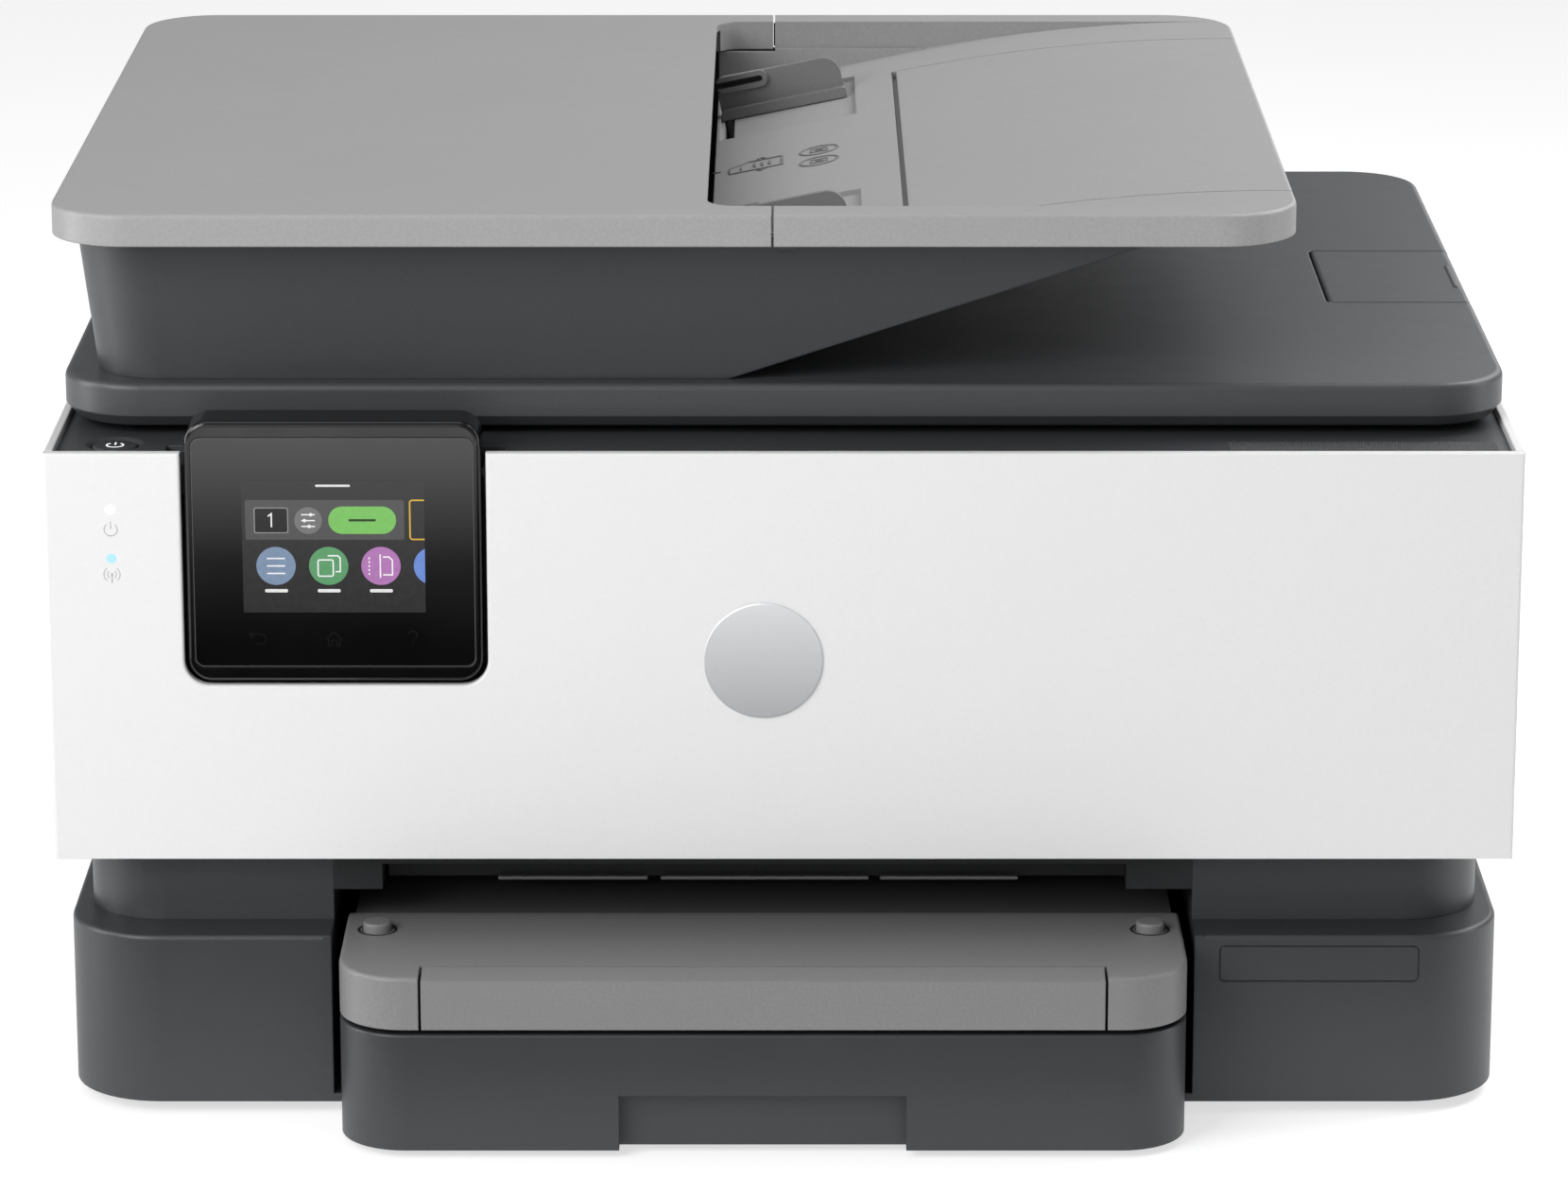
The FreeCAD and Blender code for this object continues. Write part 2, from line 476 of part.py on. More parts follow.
def feeder_body():
    low, high = LID_TOP, ADF_BODY_TOP
    outer = loft(plan_outline(-208, 140, -121.6, 176.6, low, 20, 20),
                 plan_outline(-213.5, 140, -127, 182, high, 24, 24))
    outer = outer.cut(feeder_wedge(0))
    room = loft(plan_outline(-205.3, 150, -119.0, 174.0, low + 2.4, 17.5, 17.5),
                plan_outline(-210.8, 150, -124.4, 179.4, high + 0.01, 21.5, 21.5))
    room = room.cut(feeder_wedge(2.5))
    shell = outer.cut(room)
    ribs = []
    for y in (-112, 164):
        rib = box(-206.5, -26, y, y + 2.4, low + 1, 259)
        ribs.append(rib.common(outer))
    shell = joined(shell, *ribs)
    for x, z, radius in ((-48, 252, 3.05), (-120, 245, 4.05)):
        shell = shell.cut(rod_y(x, z, radius, -115, 170))
    brackets = []
    for y0, y1, pin0, pin1, tie0, tie1 in ((-133.6, -131.4, -136.5, -128.9, -133.6, -124.9),
                                           (184.6, 186.8, 182.2, 189.4, 179.9, 186.8)):
        post = box(-1.9, 3.2, y0, y1, 266.4, 274.9)
        tie = box(-1.9, 3.2, tie0, tie1, 266.4, 268.2)
        root0, root1 = (-126.9, -124.3) if y0 < 0 else (179.2, 181.9)
        root = box(-1.9, 3.2, root0, root1, 262, 268.2)
        brackets.append(joined(post, tie, root, rod_y(TRAY_AXIS_X, TRAY_AXIS_Z, 0.9, pin0, pin1)))
    for y in (-100, 150):
        ear = joined(box(-211.0, COVER_AXIS_X, y, y + 4, COVER_AXIS_Z - 3, COVER_AXIS_Z + 3),
                     rod_y(COVER_AXIS_X, COVER_AXIS_Z, 3, y, y + 4),
                     rod_y(COVER_AXIS_X, COVER_AXIS_Z, PIN_R, y - 5, y + 9))
        brackets.append(ear.common(outer))
    return joined(shell, *brackets)


def feeder_cover():
    right = ADF_SEAM - 0.7
    radii = (ADF_CORNER, 0, 0, ADF_CORNER)
    wire = rounded_outline(ADF_LEFT, right, ADF_FRONT, ADF_REAR, radii, lambda x, y: V(x, y, ADF_UNDER))
    cover = Part.Face(wire).extrude(V(0, 0, TOP - ADF_UNDER))
    cover = soften(cover, 1.3, lambda b: at_height(TOP)(b) and b.XMin < right - 0.1)
    mouth = slab(MOUTH_LEFT, right + 20, MOUTH_FRONT, MOUTH_REAR, ADF_UNDER - 1, TOP + 1, 9)
    room = slab(ADF_LEFT + 2.6, MOUTH_LEFT - 2, ADF_FRONT + 2.6, ADF_REAR - 2.6, ADF_UNDER - 1, TOP - 2.4,
                21, 21)
    throat = box(-30, MOUTH_LEFT + 1, -118, 172, ADF_UNDER - 1, TOP - 2.4)
    cover = without(cover, mouth, room, throat)
    knuckles = []
    for y in (-100, 150):
        for y0 in (y - 5, y + 4.4):
            y1 = y0 + 4.6
            arm = joined(box(COVER_AXIS_X, COVER_AXIS_X + 11, y0, y1, COVER_AXIS_Z - 3, COVER_AXIS_Z + 3),
                         box(COVER_AXIS_X + 6, COVER_AXIS_X + 11, y0, y1, COVER_AXIS_Z, TOP - 2),
                         rod_y(COVER_AXIS_X, COVER_AXIS_Z, 3, y0, y1))
            knuckles.append(arm.cut(rod_y(COVER_AXIS_X, COVER_AXIS_Z, BORE_R, y0 - 1, y1 + 1)))
    return joined(cover, *knuckles)


def surface_profile(drop, left, right):
    """The tray's falling surface lowered by drop, from left to right, as a list of edges."""
    radius = CURVE_R - drop
    centre_z = TOP - CURVE_R

    def on_arc(angle):
        return V(CURVE_X - radius * math.sin(angle), 0, centre_z + radius * math.cos(angle))
    bend = on_arc(SLOPE)
    low = V(left, 0, bend.z - (bend.x - left) * math.tan(SLOPE))
    top = V(CURVE_X, 0, centre_z + radius)
    arc = Part.Arc(bend, on_arc(SLOPE / 2), top).toShape()
    line = Part.LineSegment(low, bend).toShape()
    if right <= CURVE_X:
        return [line, arc], low, top
    flat = Part.LineSegment(top, V(right, 0, top.z)).toShape()
    return [line, arc, flat], low, V(right, 0, top.z)


def surface_slice(upper, lower, left, right, y0, y1):
    """The layer between the tray's surface lowered by upper and by lower."""
    top_edges, top_low, top_high = surface_profile(upper, left, right)
    base_edges, base_low, base_high = surface_profile(lower, left, right)
    edges = top_edges + [Part.LineSegment(top_high, base_high).toShape()]
    edges += list(reversed(base_edges)) + [Part.LineSegment(base_low, top_low).toShape()]
    face = Part.Face(Part.Wire(Part.sortEdges(edges)[0]))
    layer = face.extrude(V(0, y1 - y0, 0))
    layer.translate(V(0, y0, 0))
    return layer


def on_slope(shape):
    """Takes a piece made flat, with its surface at z = 0 and x = 0 at the bend, onto the slope."""
    shape.rotate(V(0, 0, 0), Y_AXIS, -math.degrees(SLOPE))
    shape.translate(V(SLOPE_X, 0, SLOPE_Z))
    return shape


GUIDE_PINION_U = -41.0      # the guide pinion's place along the slope
GUIDES = ((127.1, 1), (-88.9, -1))
STEM_LEFT, STEM_RIGHT = -61.0, -58.6          # the stems that carry the guides, along the slope


def feeder_tray():
    radii = (0, ADF_CORNER, ADF_CORNER, 0)
    wire = rounded_outline(ADF_SEAM, ADF_RIGHT, ADF_FRONT, ADF_REAR, radii, lambda x, y: V(x, y, ADF_UNDER))
    rim = Part.Face(wire).extrude(V(0, 0, TOP - ADF_UNDER))
    rim = soften(rim, 1.3, lambda b: at_height(TOP)(b) and b.XMax > ADF_SEAM + 0.1)
    inner_front, inner_rear = -119.0, 174.4
    air = surface_slice(-30, 0, -30, CURVE_X, MOUTH_FRONT, MOUTH_REAR)
    under = surface_slice(TRAY_SKIN, 60, -30, 130, inner_front - 2, inner_rear + 1.4)
    skin = surface_slice(0, TRAY_SKIN, MOUTH_LEFT + 0.6, CURVE_X, inner_front, inner_rear)
    walls = [box(MOUTH_LEFT + 0.6, 48, inner_front - 1.6, inner_front + 0.2, 248, 267),
             box(MOUTH_LEFT + 0.6, 48, inner_rear - 0.2, inner_rear + 1.4, 248, 267)]
    below = surface_slice(TRAY_SKIN, 60, -30, 130, inner_front - 5, inner_rear + 5)
    walls = [wall.cut(below) for wall in walls]
    over = [wall.cut(box(-40, ADF_SEAM, ADF_FRONT, ADF_REAR, 265.9, 270)) for wall in walls]
    tray = joined(without(rim, air, under), skin, *over)
    flap_room = surface_slice(-1, FLAP_THICK + 0.4, FLAP_LEFT - 1.6, ADF_RIGHT + 1,
                              FLAP_FRONT - FLAP_GAP, FLAP_REAR + FLAP_GAP)
    flap_room = flap_room.cut(box(-60, FLAP_LEFT - 1.6, -200, 200, 200, 300))
    barrel_room = box(FLAP_AXIS_X - 2.9, ADF_RIGHT + 1, FLAP_FRONT - FLAP_GAP, FLAP_REAR + FLAP_GAP,
                      271.7, TOP + 1)
    flap_pins = rod_y(FLAP_AXIS_X, FLAP_AXIS_Z, 0.76, FLAP_FRONT - 2.8, FLAP_REAR + 2.8)
    tray = without(tray, flap_room, barrel_room, flap_pins)
    for y, outward in GUIDES:
        y0, y1 = (85.6, 151.1) if outward > 0 else (-113.0, -35.0)
        recess = box(-62.5, -16.5, y0, y1, -1.6, 3)
        reach = sorted((y + outward * 3.2, y - outward * 37.5))
        slot = box(STEM_LEFT - 0.5, STEM_RIGHT + 0.5, reach[0], reach[1], -8, 0)
        tray = without(tray, on_slope(recess), on_slope(slot))
    stud = joined(rod_z(GUIDE_PINION_U, SHEET_MIDDLE_Y, 2.0, -9.8, -TRAY_SKIN + 0.5),
                  rod_z(GUIDE_PINION_U, SHEET_MIDDLE_Y, 4.0, -6.1, -TRAY_SKIN + 0.5))
    tray = joined(tray, on_slope(stud))
    for y0, y1, tie0, tie1, pin0, pin1 in ((-134.0, -131.0, -134.0, -123.0, -136.9, -128.5),
                                           (184.2, 187.2, 178.2, 187.2, 181.8, 189.8)):
        post_room = box(ADF_SEAM - 1, 6.5, y0, y1, ADF_UNDER - 1, 275.2)
        tie_room = box(ADF_SEAM - 1, 6.5, tie0, tie1, ADF_UNDER - 1, 268.8)
        bore = rod_y(TRAY_AXIS_X, TRAY_AXIS_Z, 0.95, pin0, pin1)
        tray = without(tray, post_room, tie_room, bore)
    return tray


def feeder_extension():
    flap = surface_slice(0, FLAP_THICK, FLAP_LEFT, CURVE_X, FLAP_FRONT, FLAP_REAR)
    neck = box(CURVE_X - 1, ADF_RIGHT, FLAP_FRONT, FLAP_REAR, TOP - FLAP_THICK, TOP)
    neck = soften(neck, 1.3, lambda b: at_height(TOP)(b) and b.XMin > ADF_RIGHT - 0.1)
    barrel = rod_y(FLAP_AXIS_X, FLAP_AXIS_Z, 1.4, FLAP_FRONT, FLAP_REAR)
    pins = rod_y(FLAP_AXIS_X, FLAP_AXIS_Z, 0.7, FLAP_FRONT - 2.5, FLAP_REAR + 2.5)
    return joined(flap, neck, barrel, pins)


def feeder_guide(index):
    y, outward = GUIDES[index]
    fin0, fin1 = sorted((y, y + outward * 2.0))
    fin = upright(-62, -20, -1.3, 12.8, fin0, fin1, 0, 6)
    grip0, grip1 = sorted((y - outward * 1.6, y + outward * 1.0))
    grip = upright(-62, -44.4, 7.6, 13.2, grip0, grip1, 2.7)
    finger_slot = upright(-64, -46.2, 9.3, 11.5, grip0 - 3, grip1 + 3, 1.05)
    rail0, rail1 = sorted((y - outward * 3.0, y + outward * 1.0))
    rail = upright(-62, -19.4, -1.3, 2.2, rail0, rail1, 0, 1.2)
    f0, f1 = sorted((y, y + outward * 21.0))
    flange = slab(-62, -20, f0, f1, -1.3, -0.3, 1.0)
    s0, s1 = sorted((y - outward * 1.2, y + outward * 2.6))
    stem = box(STEM_LEFT, STEM_RIGHT, s0, s1, -9.4, -0.8)
    near = -outward
    rack_side = -1 if outward > 0 else 1
    root = GUIDE_PINION_U + rack_side * (RACK_R + 1.1 * RACK_MODULE)
    edge = GUIDE_PINION_U + rack_side * (RACK_R + 1.1 * RACK_MODULE + 4.0)
    block = box(STEM_LEFT, max(root, edge), s0, s1, -9.4, -6.6)
    tip = SHEET_MIDDLE_Y + near * 11.0
    r0, r1 = sorted((s0 if outward > 0 else s1, tip))
    e0, e1 = sorted((root, edge))
    bar = box(e0, e1, r0, r1, -9.4, -6.6)
    teeth = rack_teeth(10, RACK_MODULE, 2.8, 0)
    placed = []
    step = math.pi * RACK_MODULE
    for number, tooth in enumerate(teeth):
        tooth.translate(V(0, -number * step, 0))
        if rack_side > 0:
            tooth.rotate(V(0, 0, 0), Z_AXIS, 180)
        place_y = SHEET_MIDDLE_Y + outward * (number - 1.5) * step
        tooth.translate(V(GUIDE_PINION_U + rack_side * RACK_R, place_y, -9.4))
        placed.append(tooth)
    return on_slope(joined(joined(fin, grip, rail).cut(finger_slot), flange, stem, block, bar, *placed))


def feeder_guide_pinion():
    wheel = gear(RACK_PINION_TEETH, RACK_MODULE, 2.6, 2.06)
    wheel.translate(V(GUIDE_PINION_U, SHEET_MIDDLE_Y, -9.3))
    return on_slope(wheel)


def feeder_pick_roller():
    shaft = rod_y(-48, 252, 3.0, -114, 168)
    rollers = [rod_y(-48, 252, 9.0, y - 9, y + 9) for y in (-6, 44)]
    return joined(shaft, *rollers)


def feeder_drive_roller():
    shaft = rod_y(-120, 245, 4.0, -114, 168)
    rollers = [rod_y(-120, 245, 14.0, y - 8, y + 8) for y in (-60, 19, 98)]
    return joined(shaft, *rollers)


# ---- trays ----
def input_drawer():
    head = slab(DRAWER_LEFT, DRAWER_RIGHT, FRONT, BASE_FRONT - 1,
                DRAWER_BOTTOM, DRAWER_TOP, DRAWER_CORNER, 0)
    head = soften(head, 0.8, lambda b: at_height(DRAWER_TOP)(b) and b.YMin < BASE_FRONT - 2)
    pan = box(DRAWER_LEFT, DRAWER_RIGHT, BASE_FRONT - 2, DRAWER_BACK, 7.2, DRAWER_TOP)
    wall = 2.2
    room = slab(DRAWER_LEFT + wall, DRAWER_RIGHT - wall, FRONT + 8.0, DRAWER_BACK - wall, 9.4, DRAWER_TOP + 1,
                DRAWER_CORNER - 4, 2)
    grip = box(-49.2, 36.5, FRONT - 1, FRONT + 5.2, DRAWER_BOTTOM - 1, 19.8)
    drawer = without(joined(head, pan), room, grip)
    stud = rod_z(PAPER_MIDDLE_X, -40, 2.0, 9.0, 13.0)
    return joined(drawer, stud)


def paper_guide(side):
    """A width guide with its rack; side is -1 for the left one and 1 for the right one."""
    face = PAPER_MIDDLE_X + side * PAPER_HALF
    fin0, fin1 = sorted((face, face + side * 2.0))
    fin = box(fin0, fin1, -120, 20, 13.2, 34)
    foot0, foot1 = sorted((face - side * 12, face + side * 2))
    feet_bars = [box(foot0, foot1, -120, -62, 9.8, 13.4), box(foot0, foot1, -18, 20, 9.8, 13.4)]
    rack_side = -side
    root = -40 + rack_side * (RACK_R + 1.1 * RACK_MODULE)
    edge = root + rack_side * 4.0
    y0, y1 = sorted((root, edge))
    tip = PAPER_MIDDLE_X - side * 16
    x0, x1 = sorted((face + side * 2, tip))
    bar = box(x0, x1, y0, y1, 9.8, 12.6)
    block = box(fin0, fin1, y0, y1, 9.8, 14)
    placed = []
    step = math.pi * RACK_MODULE
    for number, tooth in enumerate(rack_teeth(15, RACK_MODULE, 2.8, 0)):
        tooth.translate(V(0, -number * step, 0))
        tooth.rotate(V(0, 0, 0), Z_AXIS, 90 if rack_side < 0 else -90)
        place_x = PAPER_MIDDLE_X + side * (number - 2) * step
        tooth.translate(V(place_x, -40 + rack_side * RACK_R, 9.8))
        placed.append(tooth)
    return joined(fin, bar, block, *feet_bars, *placed)


def paper_guide_pinion():
    wheel = gear(RACK_PINION_TEETH, RACK_MODULE, 2.6, 2.06, 0.5)
    wheel.rotate(V(0, 0, 0), Z_AXIS, 90)
    wheel.translate(V(PAPER_MIDDLE_X, -40, 9.9))
    return wheel


def output_tray():
    outer = slab(DRAWER_LEFT, DRAWER_RIGHT, FRONT, OUT_REAR, OUT_BOTTOM, OUT_TOP, DRAWER_CORNER, 0)
    outer = soften(outer, 1.2, lambda b: at_height(OUT_TOP)(b) and b.YMin < OUT_REAR - 1)
    room = box(EXT_LEFT - 0.8, EXT_RIGHT + 0.8, FRONT - 1, OUT_REAR + 1, OUT_BOTTOM + 2, OUT_TOP - 2.4)
    mouth = box(EXT_LEFT - 0.8, EXT_RIGHT + 0.8, FRONT - 1, EXT_LIP_BACK, OUT_BOTTOM - 1, OUT_TOP + 1)
    tray = without(outer, room, mouth)
    sides = [slab(x0, x1, FRONT + 8, OUT_REAR + 1, OUT_BOTTOM - 1, OUT_TOP - 2.4, 8, 0)
             for x0, x1 in ((DRAWER_LEFT + 2.2, EXT_LEFT - 3), (EXT_RIGHT + 3, DRAWER_RIGHT - 2.2))]
    tray = without(tray, *sides)
    for x in PEG_XS:
        tray = tray.cut(rod_z(x, PEG_Y, PEG_R + 0.35, OUT_TOP - 3, OUT_TOP + 1))
    return tray


def output_ramp():
    rear = -88.0
    plate = box(-122.5, 102, OUT_REAR, rear, OUT_TOP - 2.4, OUT_TOP - 0.2)
    arms = [box(-131, -122, OUT_REAR, rear, OUT_BOTTOM, OUT_TOP - 0.2),
            box(101.5, 118.5, OUT_REAR, rear, OUT_BOTTOM, OUT_TOP - 0.2)]
    return joined(plate, *arms)


def output_extender():
    lip = box(EXT_LEFT, EXT_RIGHT, FRONT, EXT_LIP_BACK - 0.4, OUT_BOTTOM, OUT_TOP)
    lip = soften(lip, 1.2, lambda b: at_height(OUT_TOP)(b) and b.YMax < FRONT + 0.1)
    bevel = side_bevel()
    plate = box(EXT_LEFT + 2, EXT_RIGHT - 2, FRONT + 5, -80, 50.0, 53.6)
    return joined(lip.cut(bevel), plate)


def side_bevel():
    """The finger edge along the extender's top: its surface falls towards the front."""
    y0, y1, drop = FRONT - 1, EXT_LIP_BACK - 0.4, 1.0
    points = [V(EXT_LEFT - 1, y1, OUT_TOP), V(EXT_LEFT - 1, y0, OUT_TOP - drop), V(EXT_LEFT - 1, y0, OUT_TOP + 1),
              V(EXT_LEFT - 1, y1, OUT_TOP + 1)]
    width = EXT_RIGHT - EXT_LEFT + 2
    return Part.Face(Part.makePolygon(points + points[:1])).extrude(V(width, 0, 0))


def release_button(x):
    cap = rod_z(x, PEG_Y, PEG_R, 50.5, 59.5)
    cap = soften(cap, 0.7, at_height(59.5))
    return joined(cap, rod_z(x, PEG_Y, PEG_R + 1.0, 50.0, 51.2))


def output_fascia():
    bar = box(CHANNEL_LEFT, CHANNEL_RIGHT, NECK_FRONT, -132.0, 75.0, NECK_TOP)
    blocks = [box(CHANNEL_LEFT, -122.0, NECK_FRONT, -132.0, 67.0, NECK_TOP),
              box(104.0, CHANNEL_RIGHT, NECK_FRONT, -132.0, 67.0, NECK_TOP)]
    return joined(bar, *blocks)


# ---- print mechanism ----
def side_frames():
    frames = []
    for side in (-1, 1):
        x0, x1 = sorted((side * FRAME_X, side * (FRAME_X + 2)))
        frame = box(x0, x1, -128.0, 172, 44, DECK_UNDER)
        holes = [rod_x(FEED_Y, FEED_Z, 4.05, x0 - 1, x1 + 1), rod_x(EXIT_Y, EXIT_Z, 3.05, x0 - 1, x1 + 1),
                 rod_x(70, 62, 3.05, x0 - 1, x1 + 1), rod_x(ROD_Y, ROD_Z, ROD_R, x0 - 1, x1 + 1)]
        window = box(x0 - 1, x1 + 1, 20, 150, 90, 160)
        frames.append(without(frame, window, *holes))
    frames[0] = joined(frames[0], rod_x(TRANSFER_Y, FEED_Z, 4.0, -FRAME_X - 0.5, GEAR_RIGHT + 0.5))
    return frames


def carriage_rail():
    web = box(-FRAME_X, FRAME_X, -20, -18, 98, 160)
    top = box(-FRAME_X, FRAME_X, -32, -18, 158.4, 160)
    lip = box(-FRAME_X, FRAME_X, -20, -12, 98, 99.6)
    motor_hole = rod_y(-182, 146, 8, -21, -17)
    return joined(web, top, lip).cut(motor_hole)


def guide_rods():
    return [rod_x(ROD_Y, ROD_Z, ROD_R, -FRAME_X - 2, FRAME_X + 2), rod_x(10, 182, 3.0, -185, 155)]


def carriage_belt():
    left, right, z, y0, y1 = -182.0, 192.0, 146.0, -29.0, -24.0
    outer_r, inner_r = 7.2, 6.2
    outer = joined(box(left, right, y0, y1, z - outer_r, z + outer_r), rod_y(left, z, outer_r, y0, y1),
                   rod_y(right, z, outer_r, y0, y1))
    inner = joined(box(left, right, y0, y1, z - inner_r, z + inner_r), rod_y(left, z, inner_r, y0, y1),
                   rod_y(right, z, inner_r, y0, y1))
    return outer.cut(inner)


def belt_pulley():
    wheel = rod_y(-182, 146, 6.1, -29.0, -24.0)
    return joined(wheel, rod_y(-182, 146, 7.4, -30.4, -29.4), rod_y(-182, 146, 3.0, -30.0, -21.5))


def drive_motors():
    carriage_motor = joined(rod_y(-182, 146, 17, -17.6, 16), rod_y(-182, 146, 5, -20.8, -17.0))
    feed_motor = joined(rod_x(4, 108, 15, -FRAME_X + 4, -165), rod_x(4, 108, 4, -FRAME_X, -198))
    scan_motor = rod_z(-194.6, 90, 8.8, 182, 200)
    return [carriage_motor, feed_motor, scan_motor]


CARTRIDGE_WIDTHS = (23.6, 15.8, 15.8, 15.8)
CARTRIDGE_NAMES = ("cartridge_black", "cartridge_cyan", "cartridge_magenta", "cartridge_yellow")
CARTRIDGE_GAP = 2.0


def cartridge_spans():
    """The left and right faces of each cartridge, from the left."""
    x = CARRIAGE_X - (sum(CARTRIDGE_WIDTHS) + CARTRIDGE_GAP * 3) / 2
    spans = []
    for width in CARTRIDGE_WIDTHS:
        spans.append((x, x + width))
        x += width + CARTRIDGE_GAP
    return spans


def cartridge(span):
    x0, x1 = span
    body = soften(box(x0, x1, -121, -50, 91.5, 127), 1.2, at_depth(-121))
    tab = box(x0 + 3, x1 - 3, -123.5, -120, 108, 122)
    label = box(x0 + 2, x1 - 2, -110, -60, 126.5, 127.4)
    return joined(body, tab, label)


def carriage():
    x0, x1 = CARRIAGE_X - CARRIAGE_HALF, CARRIAGE_X + CARRIAGE_HALF
    floor = box(x0, x1, -118, -42, 88, 91.1)
    sides = [box(x0, x0 + 2, -118, -42, 88, 126), box(x1 - 2, x1, -118, -42, 88, 126)]
    back = box(x0, x1, -46, -42, 88, 138)
    spans = cartridge_spans()
    walls = [box(left[1] + 0.5, right[0] - 0.5, -112, -42, 90, 118)
             for left, right in zip(spans, spans[1:])]
    heads = box(x0 + 12, x1 - 12, -105, -60, 84, 89)
    boss = box(x0, x1, -43, -26, 103, 121)
    clamp = box(CARRIAGE_X - 8, CARRIAGE_X + 8, -43, -21.5, 134, 142)
    belt_way = box(CARRIAGE_X - 9, CARRIAGE_X + 9, -29.5, -23.5, 138.2, 143)
    body = joined(floor, *sides, back, *walls, heads, boss, clamp)
    return without(body, belt_way, rod_x(ROD_Y, ROD_Z, ROD_R + 0.05, x0 - 1, x1 + 1))


def paper_platen():
    plate = box(-122, 108, -114, -42, 70, 76)
    ribs = [box(x - 1, x + 1, -112, -44, 75, 79) for x in range(-116, 105, 22)]
    skirt = box(-122, 108, -114, -111, 62, 71)
    return joined(plate, skirt, *ribs)


def feed_roller():
    shaft = rod_x(FEED_Y, FEED_Z, 4.0, -FRAME_X - 1.5, FRAME_X + 1.5)
    drum = rod_x(FEED_Y, FEED_Z, 6.5, -120, 108)
    wheel = about_x(gear(FEED_TEETH, GEAR_MODULE, GEAR_RIGHT - GEAR_LEFT, 0), GEAR_LEFT, FEED_Y, FEED_Z)
    return joined(shaft, drum, wheel)


def exit_roller():
    shaft = rod_x(EXIT_Y, EXIT_Z, 3.0, -FRAME_X - 1.5, FRAME_X + 1.5)
    wheels = [rod_x(EXIT_Y, EXIT_Z, 5.5, x - 5, x + 5) for x in (-98, -52, -6, 40, 86)]
    wheel = about_x(gear(EXIT_TEETH, GEAR_MODULE, GEAR_RIGHT - GEAR_LEFT, 0), GEAR_LEFT, EXIT_Y, EXIT_Z)
    return joined(shaft, *wheels, wheel)


def transfer_gear():
    """Meshes with both roller gears, whose teeth point along the line of centres."""
    wheel = gear(TRANSFER_TEETH, GEAR_MODULE, GEAR_RIGHT - GEAR_LEFT, 4.06)
    return about_x(wheel, GEAR_LEFT, TRANSFER_Y, FEED_Z)


def pick_roller():
    shaft = rod_x(70, 62, 3.0, -FRAME_X - 1.5, FRAME_X + 1.5)
    wheels = [rod_x(70, 62, 15.0, x - 8, x + 8) for x in (-34, 22)]
    return joined(shaft, *wheels)


# ---- power and boards ----
def power_supply():
    """The supply's case with its mains inlet, which shows in the back of the base."""
    case = soften(box(146, 202, 40, 176.5, 7, 43), 2.0, at_height(43))
    inlet = box(148, 178, 176, BASE_REAR, 18, 40).cut(box(153, 173, 180, BASE_REAR + 1, 23, 35))
    return joined(case, inlet)


def main_board():
    """The board and the USB, network and phone sockets that stand on it."""
    pieces = [box(-200, -112, 104, 186, 14.4, 16.1)]
    pieces += [box(-176, -152, 120, 144, 16, 20), box(-138, -120, 118, 136, 16, 18.5)]
    for x0, x1, top, mouth0, mouth1 in ((-188, -174, 29, -186.6, -175.4), (-164, -147, 31, -162, -149),
                                        (-138, -125, 29, -136.6, -126.4)):
        socket = box(x0, x1, 172, BASE_REAR, 16, top)
        pieces.append(socket.cut(box(mouth0, mouth1, 176, BASE_REAR + 1, 18, top - 2)))
    return joined(*pieces)


def build():
    spans = cartridge_spans()
    parts = {
        "base_shell": base_shell(),
        "neck_shell": neck_shell(),
        "side_panels": [side_panel(-1), side_panel(1)],
        "rear_panel": rear_panel(),
        "rear_door": rear_door(),
        "front_frame": front_frame(),
        "top_deck": top_deck(),
        "feet": feet(),
        "case_screws": case_screws(),
        "front_door": front_door(),
        "door_liner": door_liner(),
        "door_emblem": door_emblem(),
        "panel_housing": panel_housing(),
        "panel_glass": panel_glass(),
        "power_button": power_button(),
        "platen_glass": platen_glass(),
        "scanner_tub": scanner_tub(),
        "scan_bar": scan_bar(),
        "scanner_lid": scanner_lid(),
        "lid_liner": lid_liner(),
        "lid_pad": lid_pad(),
        "lid_hinge_brackets": lid_hinge_brackets(),
        "document_stop": document_stop(),
        "feeder_body": feeder_body(),
        "feeder_cover": feeder_cover(),
        "feeder_tray": feeder_tray(),
        "feeder_extension": feeder_extension(),
        "feeder_guide_rear": feeder_guide(0),
        "feeder_guide_front": feeder_guide(1),
        "feeder_guide_pinion": feeder_guide_pinion(),
        "feeder_pick_roller": feeder_pick_roller(),
        "feeder_drive_roller": feeder_drive_roller(),
        "input_drawer": input_drawer(),
        "paper_guide_left": paper_guide(-1),
        "paper_guide_right": paper_guide(1),
        "paper_guide_pinion": paper_guide_pinion(),
        "output_tray": output_tray(),
        "output_ramp": output_ramp(),
        "output_extender": output_extender(),
        "release_button_left": release_button(PEG_XS[0]),
        "release_button_right": release_button(PEG_XS[1]),
        "output_fascia": output_fascia(),
        "side_frames": side_frames(),
        "carriage_rail": carriage_rail(),
        "guide_rods": guide_rods(),
        "carriage_belt": carriage_belt(),
        "belt_pulley": belt_pulley(),
        "drive_motors": drive_motors(),
        "carriage": carriage(),
        "paper_platen": paper_platen(),
        "feed_roller": feed_roller(),
        "exit_roller": exit_roller(),
        "transfer_gear": transfer_gear(),
        "pick_roller": pick_roller(),
        "power_supply": power_supply(),
        "main_board": main_board(),
    }
    for name, span in zip(CARTRIDGE_NAMES, spans):
        parts[name] = cartridge(span)
    return parts


def write_parts():
    os.makedirs("parts", exist_ok=True)
    for name, made in build().items():
        shape = Part.makeCompound(made) if isinstance(made, list) else made
        shape.exportStep("parts/" + name + ".step")
        print(name, "solids", len(shape.Solids), "valid", shape.isValid())


write_parts()
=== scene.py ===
"""Looks for the all-in-one inkjet printer: finishes, display, lamps, marks, sockets and studio."""
import json
import math

